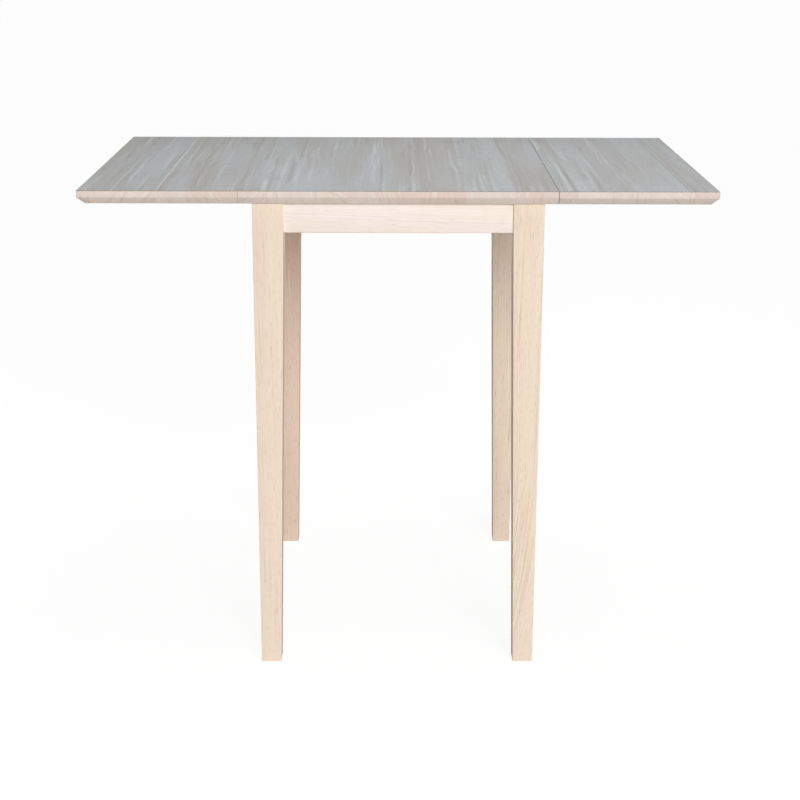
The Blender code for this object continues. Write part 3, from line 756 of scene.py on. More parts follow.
@dataclass(frozen=True)
class TableTop:
    """The centre panel and the two leaves."""

    chamfer: float = 0.010
    arris: float = 0.0009
    nose: float = 0.0012
    lower_arris: float = 0.0012
    corner: float = 0.0010
    seam_corner: float = 0.0002
    seam_arris: float = 0.0002
    joint_width: float = 0.0009
    panels: tuple[Panel, ...] = (
        Panel("left_leaf", "left_leaf_panel", (
            Board(27, -0.3, 0.0), Board(86, 0.2, -0.8, 0.9), Board(45, -0.1, -0.2), Board(70, -0.6, 0.4),
        ), chamfered_left=True, seam_reach=0.0008),
        Panel("centre_top", "centre_panel", (
            Board(39, 0.4, -0.1), Board(80, 0.3, -0.5), Board(35, 0.3, -0.8, 0.15), Board(45, 0.0, 0.1),
            Board(60, -0.2, 0.6), Board(65, -0.5, 1.0), Board(70, 0.7, -0.6, 0.2), Board(62, -0.1, 0.4),
        )),
        Panel("right_leaf", "right_leaf_panel", (
            Board(26, 0.0, 0.3), Board(45, 1.0, -0.9), Board(65, 0.6, -0.8), Board(50, 1.0, -0.9, -0.8),
            Board(6, 1.0, -1.0, -0.6), Board(36, 0.1, 0.3),
        ), chamfered_right=True, seam_reach=0.0004),
    )

    def build(self, bench: Bench) -> None:
        """Make the three panels.

        Args:
            bench: The bench.
        """
        first_board = 0
        for panel in self.panels:
            shape = self.shape(panel, first_board)
            # The third finish, of the chamfers, is painted paler as painted light
            finishes = (TOP_EDGE, TOP_FACE, TOP_CHAMFER_PAINTED_LIGHT)
            bench.add(panel.piece, shape, finishes, "top_board", panel.node)
            first_board += len(panel.boards)

    def profile(self, low: float, high: float) -> tuple[np.ndarray, np.ndarray]:
        """Draw an outer edge from the underside to the top face.

        The edge leaves the underside along a chamfer, rounds the nose, rises and rounds the top arris.

        Args:
            low: Height of the underside.
            high: Height of the top face.

        Returns:
            The inset of each row from the panel's outer side, and its height.
        """
        deep = 2 * self.chamfer
        corners = np.array([(-self.chamfer, low), (0.0, low + self.chamfer), (0.0, high), (-deep, high),
                            (-deep, low)])
        radii = np.array([self.lower_arris, self.nose, self.arris, 0.0, 0.0])
        centre, arm, _ = arcs(corners, radii, EASE_STEPS)
        rows = 3 * (EASE_STEPS + 1)
        outline = (centre + arm)[:rows]
        return -outline[:, 0], outline[:, 1]

    def shape(self, panel: Panel, first_board: int) -> Shape:
        """Stack rectangles, one for each row of the edge's profile, each drawn in by that row's inset.

        Args:
            panel: The panel.
            first_board: Number of its first board among all boards.

        Returns:
            The closed panel with its boards and glue joints marked: its top face in the second finish and
            its chamfers in the third.
        """
        low, high = (np.array(corner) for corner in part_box(panel.node))
        inset, height = self.profile(low[2], high[2])
        seam = np.clip(height - (high[2] - self.seam_arris), 0.0, None) - panel.seam_reach
        left = inset if panel.chamfered_left else seam
        right = inset if panel.chamfered_right else seam
        x, columns = self.board_lines(panel, low[0], high[0])
        rows, count = len(height), len(x)
        along = np.broadcast_to(x, (rows, count)).copy()
        left_cut = self.corner if panel.chamfered_left else self.seam_corner
        right_cut = self.corner if panel.chamfered_right else self.seam_corner
        along[:, 0] = low[0] + left + left_cut
        along[:, -1] = high[0] - right - right_cut
        front = np.broadcast_to((low[1] + inset)[:, None], (rows, count))
        back = np.broadcast_to((high[1] - inset)[:, None], (rows, count))
        ends_x = [(high[0] - right)[:, None]] * 2, [(low[0] + left)[:, None]] * 2
        ring_x = np.concatenate([along, *ends_x[0], along[:, ::-1], *ends_x[1]], axis=1)
        ring_y = np.concatenate([front, front[:, :1] + right_cut, back[:, :1] - right_cut,
                                 back, back[:, :1] - left_cut, front[:, :1] + left_cut], axis=1)
        ring_z = np.broadcast_to(height[:, None], ring_x.shape)
        shape = tube(np.stack([ring_x, ring_y, ring_z], axis=-1))
        return self.faced(shape, rows, count, columns, panel, first_board)

    def board_lines(self, panel: Panel, low: float,
                    high: float) -> tuple[np.ndarray, dict[str, np.ndarray]]:
        """Lay out the boards and the thin glue joints between them.

        Args:
            panel: The panel.
            low: Its left side.
            high: Its right side.

        Returns:
            The X of every line from side to side, and the marks of the strips between them.
        """
        width = np.array([board.width_mm for board in panel.boards]) * MM
        joints = low + np.cumsum(width)[:-1]
        around = joints[:, None] + np.array([-0.5, 0.5]) * self.joint_width
        x = np.concatenate([[low], around.ravel(), [high]])
        strips = {"board": np.repeat(np.arange(len(panel.boards), dtype=float), 2)[:-1]}
        for name in ("tone", "warmth"):
            strips[name] = np.repeat([getattr(board, name) for board in panel.boards], 2)[:-1]
        strips["joint"] = np.zeros(len(x) - 1)
        strips["joint"][1::2] = [board.joint for board in panel.boards[:-1]]
        return x, strips

    def faced(self, shape: Shape, rows: int, count: int, strips: dict[str, np.ndarray], panel: Panel,
              first: int) -> Shape:
        """Close a panel's two faces with a strip for each board, and mark every face.

        The grey wash covers the top face with its arris, and runs down into the seams, where its darker
        grey on the seam walls is also painted shade for the narrow gaps between the panels.

        Args:
            shape: The panel's sides.
            rows: Rows of its profile.
            count: Lines across it.
            strips: Marks of the strips between the lines.
            panel: The panel.
            first: Number of its first board among all boards.

        Returns:
            The whole panel.
        """
        ring = 2 * count + 4
        line = np.arange(count - 1)
        back = 2 * count + 1 - line
        strip = np.stack([line, line + 1, back - 1, back], axis=1)
        right = np.array([[count - 1, count, count + 1, count + 2]])
        left = np.array([[ring - 1, 0, 2 * count + 1, 2 * count + 2]])
        face = np.concatenate([strip, right, left])
        quads = np.concatenate([shape.quads, face[:, ::-1], face + (rows - 1) * ring])
        row, column = np.divmod(np.arange((rows - 1) * ring), ring)
        on_right = (column >= count - 1) & (column <= count + 1)
        on_left = column >= ring - 3
        in_seam = (on_right & (not panel.chamfered_right)) | (on_left & (not panel.chamfered_left))
        # The seam's side walls, which take the darker grey wash as painted shade
        seam_wall_painted_shade = in_seam & ((column == count) | (column == ring - 2))
        on_arris = (row >= rows - 1 - EASE_STEPS) & ~in_seam
        marks = {"arris": np.concatenate([on_arris.astype(float), np.zeros(2 * len(face))])}
        for name, value in strips.items():
            round_edge = np.concatenate([value, value[[-1] * 3], value[::-1], value[[0] * 3]])
            on_face = np.concatenate([value, value[[-1, 0]]])
            marks[name] = np.concatenate([np.tile(round_edge, rows - 1), on_face, on_face])
        marks["board"] = marks["board"] + first
        finish = np.zeros(len(quads), int)
        finish[-len(face):] = 1
        # Chamfer rows take the third finish, painted paler as painted light
        finish[:len(row)] = np.where(on_arris | seam_wall_painted_shade, 1, np.where(row == EASE_STEPS, 2, 0))
        return Shape(shape.points, quads, [], marks, finish)


@dataclass(frozen=True)
class LegBlank:
    """The wood that one leg is cut from: how light and how warm it is, and its place in the log.

    The grain runs up the leg or leans from it by the slant, and swings further by the bend at the foot.
    """

    corner: str
    tone: float
    warmth: float
    log: float
    slant: float
    contrast: float
    bend: float = 0.0

    def wood(self) -> SandedHardwood:
        """Return the leg's cream wood."""
        name = f"sanded hardwood, {self.corner.replace('_', ' ')} leg"
        return cream_wood(name, self.slant, self.contrast, self.bend)


@dataclass(frozen=True)
class LegFrame:
    """The four legs and the four aprons between them."""

    foot_width: float = 0.0305
    leg_ease: float = 0.0011
    apron_ease: float = 0.0010
    # The aprons' square-cut ends are drawn up tight against the legs
    apron_end_ease: float = 0.1
    seat_gap: float = 0.0003
    apron_log: float = 53.0
    # The front right leg was sawn across the run of the grain at its foot, the others along it
    legs: tuple[LegBlank, ...] = (
        LegBlank("front_left", tone=-0.1, warmth=0.0, log=8.0, slant=0.02, contrast=0.9),
        LegBlank("front_right", tone=0.2, warmth=0.15, log=7.0, slant=-0.02, contrast=1.1, bend=0.22),
        LegBlank("back_left", tone=-0.2, warmth=0.9, log=13.0, slant=0.01, contrast=1.4),
        LegBlank("back_right", tone=0.0, warmth=0.2, log=3.0, slant=-0.02, contrast=1.1),
    )

    def build(self, bench: Bench) -> None:
        """Make the legs and the front and back aprons, and dress the side aprons.

        Args:
            bench: The bench.
        """
        taper_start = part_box("front_apron")[0].z
        for blank in self.legs:
            node = f"{blank.corner}_leg"
            shape = self.leg(node, taper_start)
            for mark, value in (("tone", blank.tone), ("warmth", blank.warmth), ("board", blank.log)):
                shape.marks[mark] = np.full(len(shape.quads), value)
            bench.add(f"{blank.corner}_tapered_leg", shape, (blank.wood(),), "leg_wood", node)
        for place in ("front", "back"):
            node = f"{place}_apron"
            low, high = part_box(node)
            shape = eased_stick(rectangle(low.yz, high.yz), low.x - self.seat_gap, high.x + self.seat_gap,
                                self.apron_ease, end_ease=self.apron_end_ease).along(Axis.X)
            shape.marks["board"] = np.full(len(shape.quads), self.apron_log)
            bench.add(f"{place}_apron_board", shape, (LONG_APRON_WOOD,), "apron_wood", node)
        for side in ("left", "right"):
            bench.dress(f"{side}_apron", SIDE_APRON_WOOD)

    def leg(self, node: str, taper_start: float) -> Shape:
        """Draw a leg whose two inner faces close in below the aprons.

        A point's distance from the leg's outer corner shrinks evenly with depth, from the full width at
        the taper's start to the foot's width on the floor.

        Args:
            node: The leg's node.
            taper_start: Height where the taper starts.

        Returns:
            The leg.
        """
        low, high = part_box(node)
        shape = eased_stick(rectangle(low, high), low.z, high.z, self.leg_ease, (taper_start,))
        outer = np.array([max(low.x, high.x, key=abs), max(low.y, high.y, key=abs)])
        foot_share = self.foot_width / (high.x - low.x)
        rise = np.clip(shape.points[:, 2:] / taper_start, 0.0, 1.0)
        width_share = foot_share + (1.0 - foot_share) * rise
        shape.points[:, :2] = outer + (shape.points[:, :2] - outer) * width_share
        return shape


@dataclass(frozen=True)
class WoodScrew:
    """A countersunk cross-head wood screw, its head at zero facing up and its point down.

    The point and the thread's root are shares of the shank's radius, the rim and the recess's depth of the
    head's height, and the face and the slots of the head's radius.
    """

    head_radius: float
    head_height: float
    shank_radius: float
    length: float
    columns: int = 32
    pitch: float = 0.0014
    pitch_rows: int = 6
    thread_root: float = 0.72
    point: float = 0.004
    point_share: float = 0.08
    rim: tuple[float, float] = (-0.12, -0.03)
    face: tuple[float, float] = (0.97, 0.03)
    face_rows: int = 14
    slot_half_width: float = 0.20
    slot_side_slope: float = 0.08
    slot_reach: float = 0.62
    slot_end_slope: float = 0.25
    recess_depth: float = 0.6

    def shape(self) -> Shape:
        """Turn the screw from its point up to the middle of its head.

        The shank narrows evenly at the point and carries a triangular thread; the head is a cone, and its
        flat face is sunk by the cross recess.

        Returns:
            The screw.
        """
        angle = angles(self.columns)
        rise = np.arange(-self.length, -self.head_height, self.pitch / self.pitch_rows)[:, None]
        narrow = np.clip((rise + self.length) / self.point, self.point_share, 1.0)
        shank = self.shank_radius * narrow * thread(angle, rise, self.pitch, self.thread_root)
        rim_height = np.array(self.rim)[:, None] * self.head_height
        rim = np.full((len(self.rim), self.columns), self.head_radius)
        face = np.linspace(*self.face, self.face_rows)[:, None] * self.head_radius + 0.0 * angle
        radius = np.concatenate([shank, rim, face])
        heights = [rise + 0.0 * angle, rim_height + 0.0 * angle, -self.recess(face, angle)]
        return turned(radius, np.concatenate(heights), self.columns)

    def at(self, places: Sequence[Matrix]) -> Shape:
        """Return one shape of the screw at each of several places."""
        screw = self.shape()
        return joined([screw.placed(place) for place in places])

    def recess(self, radius: np.ndarray, angle: np.ndarray) -> np.ndarray:
        """Work out the cross recess: full along two crossed slots, sloping out at their sides and ends.

        Args:
            radius: Distance of each point from the screw's axis.
            angle: Angle of each point round it.

        Returns:
            The depth at each point.
        """
        share = radius / self.head_radius
        near = np.minimum(np.abs(np.cos(angle)), np.abs(np.sin(angle))) * share
        slot = np.clip((self.slot_half_width - near) / self.slot_side_slope, 0.0, 1.0)
        reach = np.clip((self.slot_reach - share) / self.slot_end_slope, 0.0, 1.0)
        return self.recess_depth * self.head_height * slot * reach


@dataclass(frozen=True)
class CornerJoints:
    """The corner blocks with the hanger bolts, washers, nuts and screws that hold the legs and the top.

    A bolt's nose, tail and thread root are shares of its radius, and a nut's face of its half width.
    """

    seat_gap: float = 0.0003
    block_thickness: float = 0.020
    block_leg_gap: float = 0.003
    bolt_radius: float = 0.003
    bolt_bite: float = 0.028
    bolt_tail: float = 0.004
    bolt_taper: float = 0.001
    bolt_pitch: float = 0.001
    bolt_pitch_rows: int = 8
    bolt_columns: int = 24
    bolt_nose_share: float = 0.3
    bolt_tail_share: float = 0.6
    bolt_root: float = 0.8
    washer_radius: float = 0.008
    washer_thickness: float = 0.0015
    washer_ease: float = 0.000375
    washer_columns: int = 40
    nut_across_flats: float = 0.010
    nut_face_share: float = 0.96
    nut_height: float = 0.005
    nut_columns: int = 72
    screw_seat: float = 0.008
    top_screw_recess: float = 0.004
    top_screw_offset: float = 0.014
    side_screw: WoodScrew = WoodScrew(0.004, 0.0024, 0.002, 0.020)
    top_screw: WoodScrew = WoodScrew(0.004, 0.0024, 0.002, 0.038)

    def build(self, bench: Bench) -> None:
        """Dress the blocks, and make each corner's bolt, washer, nut and screws.

        Args:
            bench: The bench.
        """
        for corner in ("front_left", "front_right", "back_left", "back_right"):
            block = f"{corner}_corner_block"
            bench.dress(block, BLOCK_WOOD)
            axis = self.bolt_axis(corner)
            for part, name, shape in (("leg_bolt", "hanger_bolt", self.bolt()),
                                      ("bolt_washer", "round_washer", self.washer()),
                                      ("bolt_nut", "hex_nut", self.nut())):
                node = f"{corner}_{part}"
                bench.add(f"{corner}_{name}", shape.placed(axis), (ZINC,), "zinc_steel", node)
            bench.add(f"{corner}_block_screws", self.screws(block), (ZINC,), "zinc_steel", block, False)

    def corner_frame(self, block: str) -> Matrix:
        """Find the corner of the aprons' inner faces at a block's middle height.

        Args:
            block: The block's node.

        Returns:
            The frame there, with +X and +Y facing outwards.
        """
        low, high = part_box(block)
        outer = Vector((max(low.x, high.x, key=abs), max(low.y, high.y, key=abs), (low.z + high.z) / 2))
        sign = Vector((math.copysign(1.0, outer.x), math.copysign(1.0, outer.y), 0.0))
        turn = Matrix.Rotation(math.atan2(sign.y, sign.x) - math.pi / 4, 4, "Z")
        return Matrix.Translation(outer + sign * self.seat_gap) @ turn

    def bolt_axis(self, corner: str) -> Matrix:
        """Find a bolt's axis, from the leg's inner corner at the block's middle height, inwards.

        Args:
            corner: The corner of the table.

        Returns:
            The frame whose Z is the axis.
        """
        low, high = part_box(f"{corner}_leg")
        block_low, block_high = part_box(f"{corner}_corner_block")
        place = (min(low.x, high.x, key=abs), min(low.y, high.y, key=abs), (block_low.z + block_high.z) / 2)
        return pointing(place, (-place[0] / abs(place[0]), -place[1] / abs(place[1]), 0.0))

    def washer_seat(self) -> float:
        """Return the distance of the washer from the leg's inner corner."""
        return self.block_leg_gap + self.block_thickness + self.seat_gap

    def nut_seat(self) -> float:
        """Return the distance of the nut from the leg's inner corner."""
        return self.washer_seat() + self.washer_thickness + self.seat_gap

    def bolt(self) -> Shape:
        """Turn the bolt: a plain shank, and a triangular thread where the nut runs.

        Returns:
            The bolt along Z, zero at the leg's inner corner.
        """
        angle = angles(self.bolt_columns)
        tail = self.nut_seat() + self.nut_height + self.bolt_tail
        plain = np.array([[-self.bolt_bite], [-self.bolt_bite + self.bolt_radius], [self.washer_seat()]])
        start = self.washer_seat() + self.bolt_pitch
        run = np.arange(start, tail - self.bolt_taper, self.bolt_pitch / self.bolt_pitch_rows)[:, None]
        shares = [np.array([[self.bolt_nose_share], [1.0], [1.0]]) + 0.0 * angle,
                  thread(angle, run, self.bolt_pitch, self.bolt_root),
                  np.full_like(angle, self.bolt_tail_share)]
        height = np.concatenate([plain, run, [[tail]]])
        return turned(self.bolt_radius * np.concatenate(shares), height[:, 0], self.bolt_columns)

    def washer(self) -> Shape:
        """Turn the washer, a flat ring with rounded edges.

        Returns:
            The washer.
        """
        inner, outer = self.bolt_radius + self.seat_gap, self.washer_radius
        corners = np.array(rectangle((inner, 0.0), (outer, self.washer_thickness)))
        centre, arm, _ = arcs(corners, np.full(len(corners), self.washer_ease), EASE_STEPS)
        outline = centre + arm
        return turned(outline[:, 0], outline[:, 1] + self.washer_seat(), self.washer_columns, ring=True)

    def nut(self) -> Shape:
        """Turn the nut: six flats whose corners are cut back by a thirty degree cone at both ends.

        Returns:
            The nut, bored for the bolt.
        """
        flat = self.nut_across_flats / 2
        sixth = (angles(self.nut_columns) + math.pi / 6) % (math.pi / 3) - math.pi / 6
        side = flat / np.cos(sixth)
        face = np.full_like(side, self.nut_face_share * flat)
        cut = (side - face) * math.tan(math.pi / 6)
        bore = np.full_like(side, self.bolt_radius + self.seat_gap / 2)
        level = np.zeros_like(side)
        radius = np.concatenate([face, side, side, face, bore, bore])
        height = np.concatenate([level, cut, self.nut_height - cut, level + self.nut_height,
                                 level + self.nut_height, level])
        return turned(radius, height + self.nut_seat(), self.nut_columns, ring=True)

    def screws(self, block: str) -> Shape:
        """Place a block's screws: one through it into each apron, and one up into the top.

        Args:
            block: The block's node.

        Returns:
            The three screws.
        """
        low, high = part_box(block)
        frame = self.corner_frame(block)
        far = high.x - low.x + self.seat_gap
        seat = far - self.block_thickness / math.sqrt(2)
        aside = self.top_screw_offset / math.sqrt(2)
        recess = (low.z - high.z) / 2 + self.top_screw_recess
        sides = (pointing((-self.screw_seat, -seat, 0.0), (-1, 0, 0)),
                 pointing((-seat, -self.screw_seat, 0.0), (0, -1, 0)))
        top = pointing((-seat / 2 - aside, -seat / 2 + aside, recess), (0, 0, -1))
        aprons = self.side_screw.at([frame @ place for place in sides])
        return joined([aprons, self.top_screw.at([frame @ top])])


@dataclass(frozen=True)
class LeafHinges:
    """The butt hinges of both leaves: rolled plates, pins and countersunk screws."""

    plate_thickness: float = 0.0015
    bore_radius: float = 0.0015
    pin_radius: float = 0.0012
    seat_gap: float = 0.0003
    plate_ease: float = 0.0004
    roll_end: float = math.radians(290)
    roll_steps: int = 28
    pin_dome: float = 0.00048
    pin_dome_rows: int = 5
    pin_columns: int = 20
    screw_margin: float = 0.010
    screw_proud: float = 0.00005
    screw_count: int = 3
    knuckles: int = 5
    screw: WoodScrew = WoodScrew(0.003, 0.0015, 0.0015, 0.0135, pitch=0.0011)

    def build(self, bench: Bench) -> None:
        """Make the four hinges.

        Args:
            bench: The bench.
        """
        for side in Side:
            for end in ("front", "back"):
                self.hinge(bench, side, f"{side.name.lower()}_{end}_hinge")

    def hinge(self, bench: Bench, side: Side, name: str) -> None:
        """Make one hinge: its fixed and leaf plates with their screws, and its pin.

        Args:
            bench: The bench.
            side: The leaf's side.
            name: The start of the names of the hinge's nodes.
        """
        pin_low, pin_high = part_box(f"{name}_pin")
        length = pin_high.y - pin_low.y
        centre = (pin_low + pin_high) / 2
        for kind, outward, first in (("fixed", -side.value, 0), ("leaf", side.value, 1)):
            node = f"{name}_{kind}_plate"
            low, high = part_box(node)
            width = max(outward * (low.x - centre.x), outward * (high.x - centre.x))
            turn = Matrix.Rotation(0.0 if outward > 0 else math.pi, 4, "Z")
            frame = Matrix.Translation(centre) @ turn
            own = range(first, self.knuckles, 2)
            plate = self.plate(width, length, own).placed(frame)
            bench.add(f"{name}_{kind}_flap", plate, (BRASS,), "hinge_brass", node)
            screws = self.screws(width, length).placed(frame)
            bench.add(f"{name}_{kind}_screws", screws, (BRASS,), "hinge_brass", node, False)
        pin = self.pin(length).placed(Matrix.Translation(centre))
        bench.add(f"{name}_pin_rod", pin, (ZINC,), "zinc_steel", f"{name}_pin")

    def plate(self, width: float, length: float, own: Sequence[int]) -> Shape:
        """Draw a flat plate on the +X side of the axis, with a rolled strip at each of its own knuckles.

        A strip's flat section runs in along the plate and then round the pin at a constant radius.

        Args:
            width: Distance from the axis to the plate's far edge.
            length: The hinge's length along Y.
            own: Numbers of the plate's own knuckles along the barrel.

        Returns:
            The plate and its knuckles.
        """
        barrel = self.bore_radius + self.plate_thickness
        near = barrel + self.seat_gap
        flat = eased_stick(rectangle((near, -length / 2), (width, length / 2)), self.bore_radius, barrel,
                           self.plate_ease)
        turn = math.pi / 2 + np.linspace(0.0, self.roll_end, self.roll_steps)
        x = np.concatenate([[near + self.seat_gap], np.zeros(self.roll_steps)])
        angle = np.concatenate([[math.pi / 2], turn])
        pitch = length / self.knuckles
        strips = []
        for knuckle in own:
            low = knuckle * pitch - length / 2 + self.seat_gap / 2
            high = low + pitch - self.seat_gap
            section = np.array(rectangle((self.bore_radius, low), (barrel, high)))
            points = np.stack([x[:, None] + np.cos(angle)[:, None] * section[:, 0],
                               np.broadcast_to(section[:, 1], (len(x), 4)),
                               np.sin(angle)[:, None] * section[:, 0]], axis=-1)
            strips.append(tube(points))
        return joined([flat, *strips])

    def screws(self, width: float, length: float) -> Shape:
        """Place a plate's screws, heads down and flush with its lower face.

        Args:
            width: Distance from the axis to the plate's far edge.
            length: The hinge's length along Y.

        Returns:
            The screws.
        """
        middle = (self.bore_radius + self.plate_thickness + self.seat_gap + width) / 2
        spread = np.linspace(-1.0, 1.0, self.screw_count) * (length / 2 - self.screw_margin)
        seat = self.bore_radius - self.screw_proud
        return self.screw.at([pointing((middle, y, seat), (0, 0, -1)) for y in spread])

    def pin(self, length: float) -> Shape:
        """Turn a pin whose ends are rounded by a quarter turn.

        Args:
            length: The pin's length.

        Returns:
            The pin, along Y.
        """
        radius, inward = domed(self.pin_radius, self.pin_dome, self.pin_dome_rows)
        height = np.concatenate([inward - length / 2, length / 2 - inward[::-1]])
        return turned(np.concatenate([radius, radius[::-1]]), height, self.pin_columns).along(Axis.Y)


@dataclass(frozen=True)
class LeafSlides:
    """The slides that carry the raised leaves, with their guides, keepers, stop dowels and ramp blocks."""

    ease: float = 0.0010
    guide_ease: float = 0.0004
    slide_clearance: float = 0.0005
    tip_bevel: float = 0.008
    ramp_run: float = 0.0155
    ramp_slope: float = 0.6283
    stop_radius: float = 0.004
    stop_dome: float = 0.002
    stop_dome_rows: int = 7
    stop_ease: float = 0.0004
    stop_columns: int = 36
    outer_rail: float = 0.012
    screw_proud: float = 0.00005
    keeper_screw: WoodScrew = WoodScrew(0.004, 0.0024, 0.002, 0.042)

    def build(self, bench: Bench) -> None:
        """Make the slides and what they run in and under.

        Args:
            bench: The bench.
        """
        for side in Side:
            for end in ("front", "back"):
                self.slide(bench, side, f"{side.name.lower()}_{end}")
        for place in ("front", "back"):
            node = f"{place}_slide_guide"
            rail = self.guide(node, place)
            bench.add(f"{place}_guide_rail", rail, (RUNNER_WOOD,), "inner_wood", node)
            for end in ("left", "middle", "right"):
                self.keeper(bench, f"{place}_{end}_keeper")

    def slide(self, bench: Bench, side: Side, name: str) -> None:
        """Make a slide with its bevelled tip, its stop dowel, and the ramp block on its leaf.

        Args:
            bench: The bench.
            side: The leaf's side.
            name: The start of the names of the slide's nodes.
        """
        low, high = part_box(f"{name}_slide")
        tail, tip = side.ends(low, high)
        shoulder = tip - side.value * self.tip_bevel
        bevel = high.z - self.ramp_slope * self.tip_bevel
        outline = [(low.z, tail), (low.z, tip), (bevel, tip), (high.z, shoulder), (high.z, tail)]
        self.bar(bench, f"{name}_slide_bar", outline, f"{name}_slide", RUNNER_WOOD)
        stop = f"{name}_slide_stop"
        bench.add(f"{name}_stop_dowel", self.dowel(stop), (DOWEL_WOOD,), "inner_wood", stop)
        low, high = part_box(f"{name}_ramp_block")
        inner, outer = side.ends(low, high)
        deep = inner + side.value * self.ramp_run
        start = low.z + self.ramp_slope * self.ramp_run
        outline = [(start, inner), (low.z, deep), (low.z, outer), (high.z, outer), (high.z, inner)]
        self.bar(bench, f"{name}_ramp_wedge", outline, f"{name}_ramp_block", CROSS_WOOD)

    def bar(self, bench: Bench, name: str, outline: list[tuple[float, float]], node: str,
            finish: SandedHardwood) -> None:
        """Make a bar of a (Z, X) outline, as wide as its node along Y.

        Args:
            bench: The bench.
            name: The piece's name.
            outline: The outline's corners.
            node: The node that it stands for.
            finish: Its wood.
        """
        low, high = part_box(node)
        ring = np.array(outline)
        after = np.roll(ring, -1, axis=0)
        clockwise = (ring[:, 0] * after[:, 1] - ring[:, 1] * after[:, 0]).sum() < 0.0
        shape = eased_stick(ring[::-1] if clockwise else ring, low.y, high.y, self.ease).along(Axis.Y)
        bench.add(name, shape, (finish,), "inner_wood", node)

    def dowel(self, node: str) -> Shape:
        """Turn a stop dowel with a rounded lower end.

        Args:
            node: The dowel's node.

        Returns:
            The dowel.
        """
        low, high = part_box(node)
        dome, inward = domed(self.stop_radius, self.stop_dome, self.stop_dome_rows)
        radius = np.concatenate([dome, [self.stop_radius, self.stop_radius - self.stop_ease]])
        height = np.concatenate([low.z + inward, [high.z - self.stop_ease, high.z]])
        middle = Vector(((low.x + high.x) / 2, (low.y + high.y) / 2, 0.0))
        return turned(radius, height, self.stop_columns).placed(Matrix.Translation(middle))

    def guide(self, node: str, place: str) -> Shape:
        """Carry a guide's section, a block with a channel for each slide, along X.

        Args:
            node: The guide's node.
            place: The end of the table that it lies at.

        Returns:
            The guide.
        """
        low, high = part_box(node)
        outline = [(low.y, low.z)]
        slides = [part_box(f"{side}_{place}_slide") for side in ("left", "right")]
        for slide_low, slide_high in sorted(slides, key=lambda box: box[0].y):
            left, right = slide_low.y - self.slide_clearance, slide_high.y + self.slide_clearance
            roof = slide_high.z + self.slide_clearance
            outline += [(left, low.z), (left, roof), (right, roof), (right, low.z)]
        outline += [(high.y, low.z), (high.y, high.z), (low.y, high.z)]
        return eased_stick(outline, low.x, high.x, self.guide_ease).along(Axis.X)

    def keeper(self, bench: Bench, node: str) -> None:
        """Make a keeper and the two screws that hold it and the guide to the top.

        Args:
            bench: The bench.
            node: The keeper's node.
        """
        low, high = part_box(node)
        shape = eased_stick(rectangle(low, high), low.z, high.z, self.ease)
        bench.add(f"{node}_strip", shape, (CROSS_WOOD,), "inner_wood", node)
        rail = self.outer_rail / 2
        middle, seat = (low.x + high.x) / 2, low.z - self.screw_proud
        screws = self.keeper_screw.at([pointing((middle, y, seat), (0, 0, -1))
                                       for y in (low.y + rail, high.y - rail)])
        bench.add(f"{node}_screws", screws, (ZINC,), "zinc_steel", node, False)


class LampKind(Enum):
    """A far light that falls evenly on everything, or a square soft box that fades with distance."""

    FAR = "SUN"
    SOFT_BOX = "AREA"


@dataclass(frozen=True)
class Lamp:
    """A studio light: where it stands or comes from, where it points, how strong it is and how wide.

    The strength is the share of a white surface's brightness that a far light adds, or a soft box's
    watts; the width is a far light's angle in degrees, or a soft box's side. Flags keep the light off the
    objects that they are named for.
    """

    name: str
    kind: LampKind
    place: tuple[float, float, float]
    aim: tuple[float, float, float]
    strength: float
    width: float
    flags: tuple[str, ...] = ()


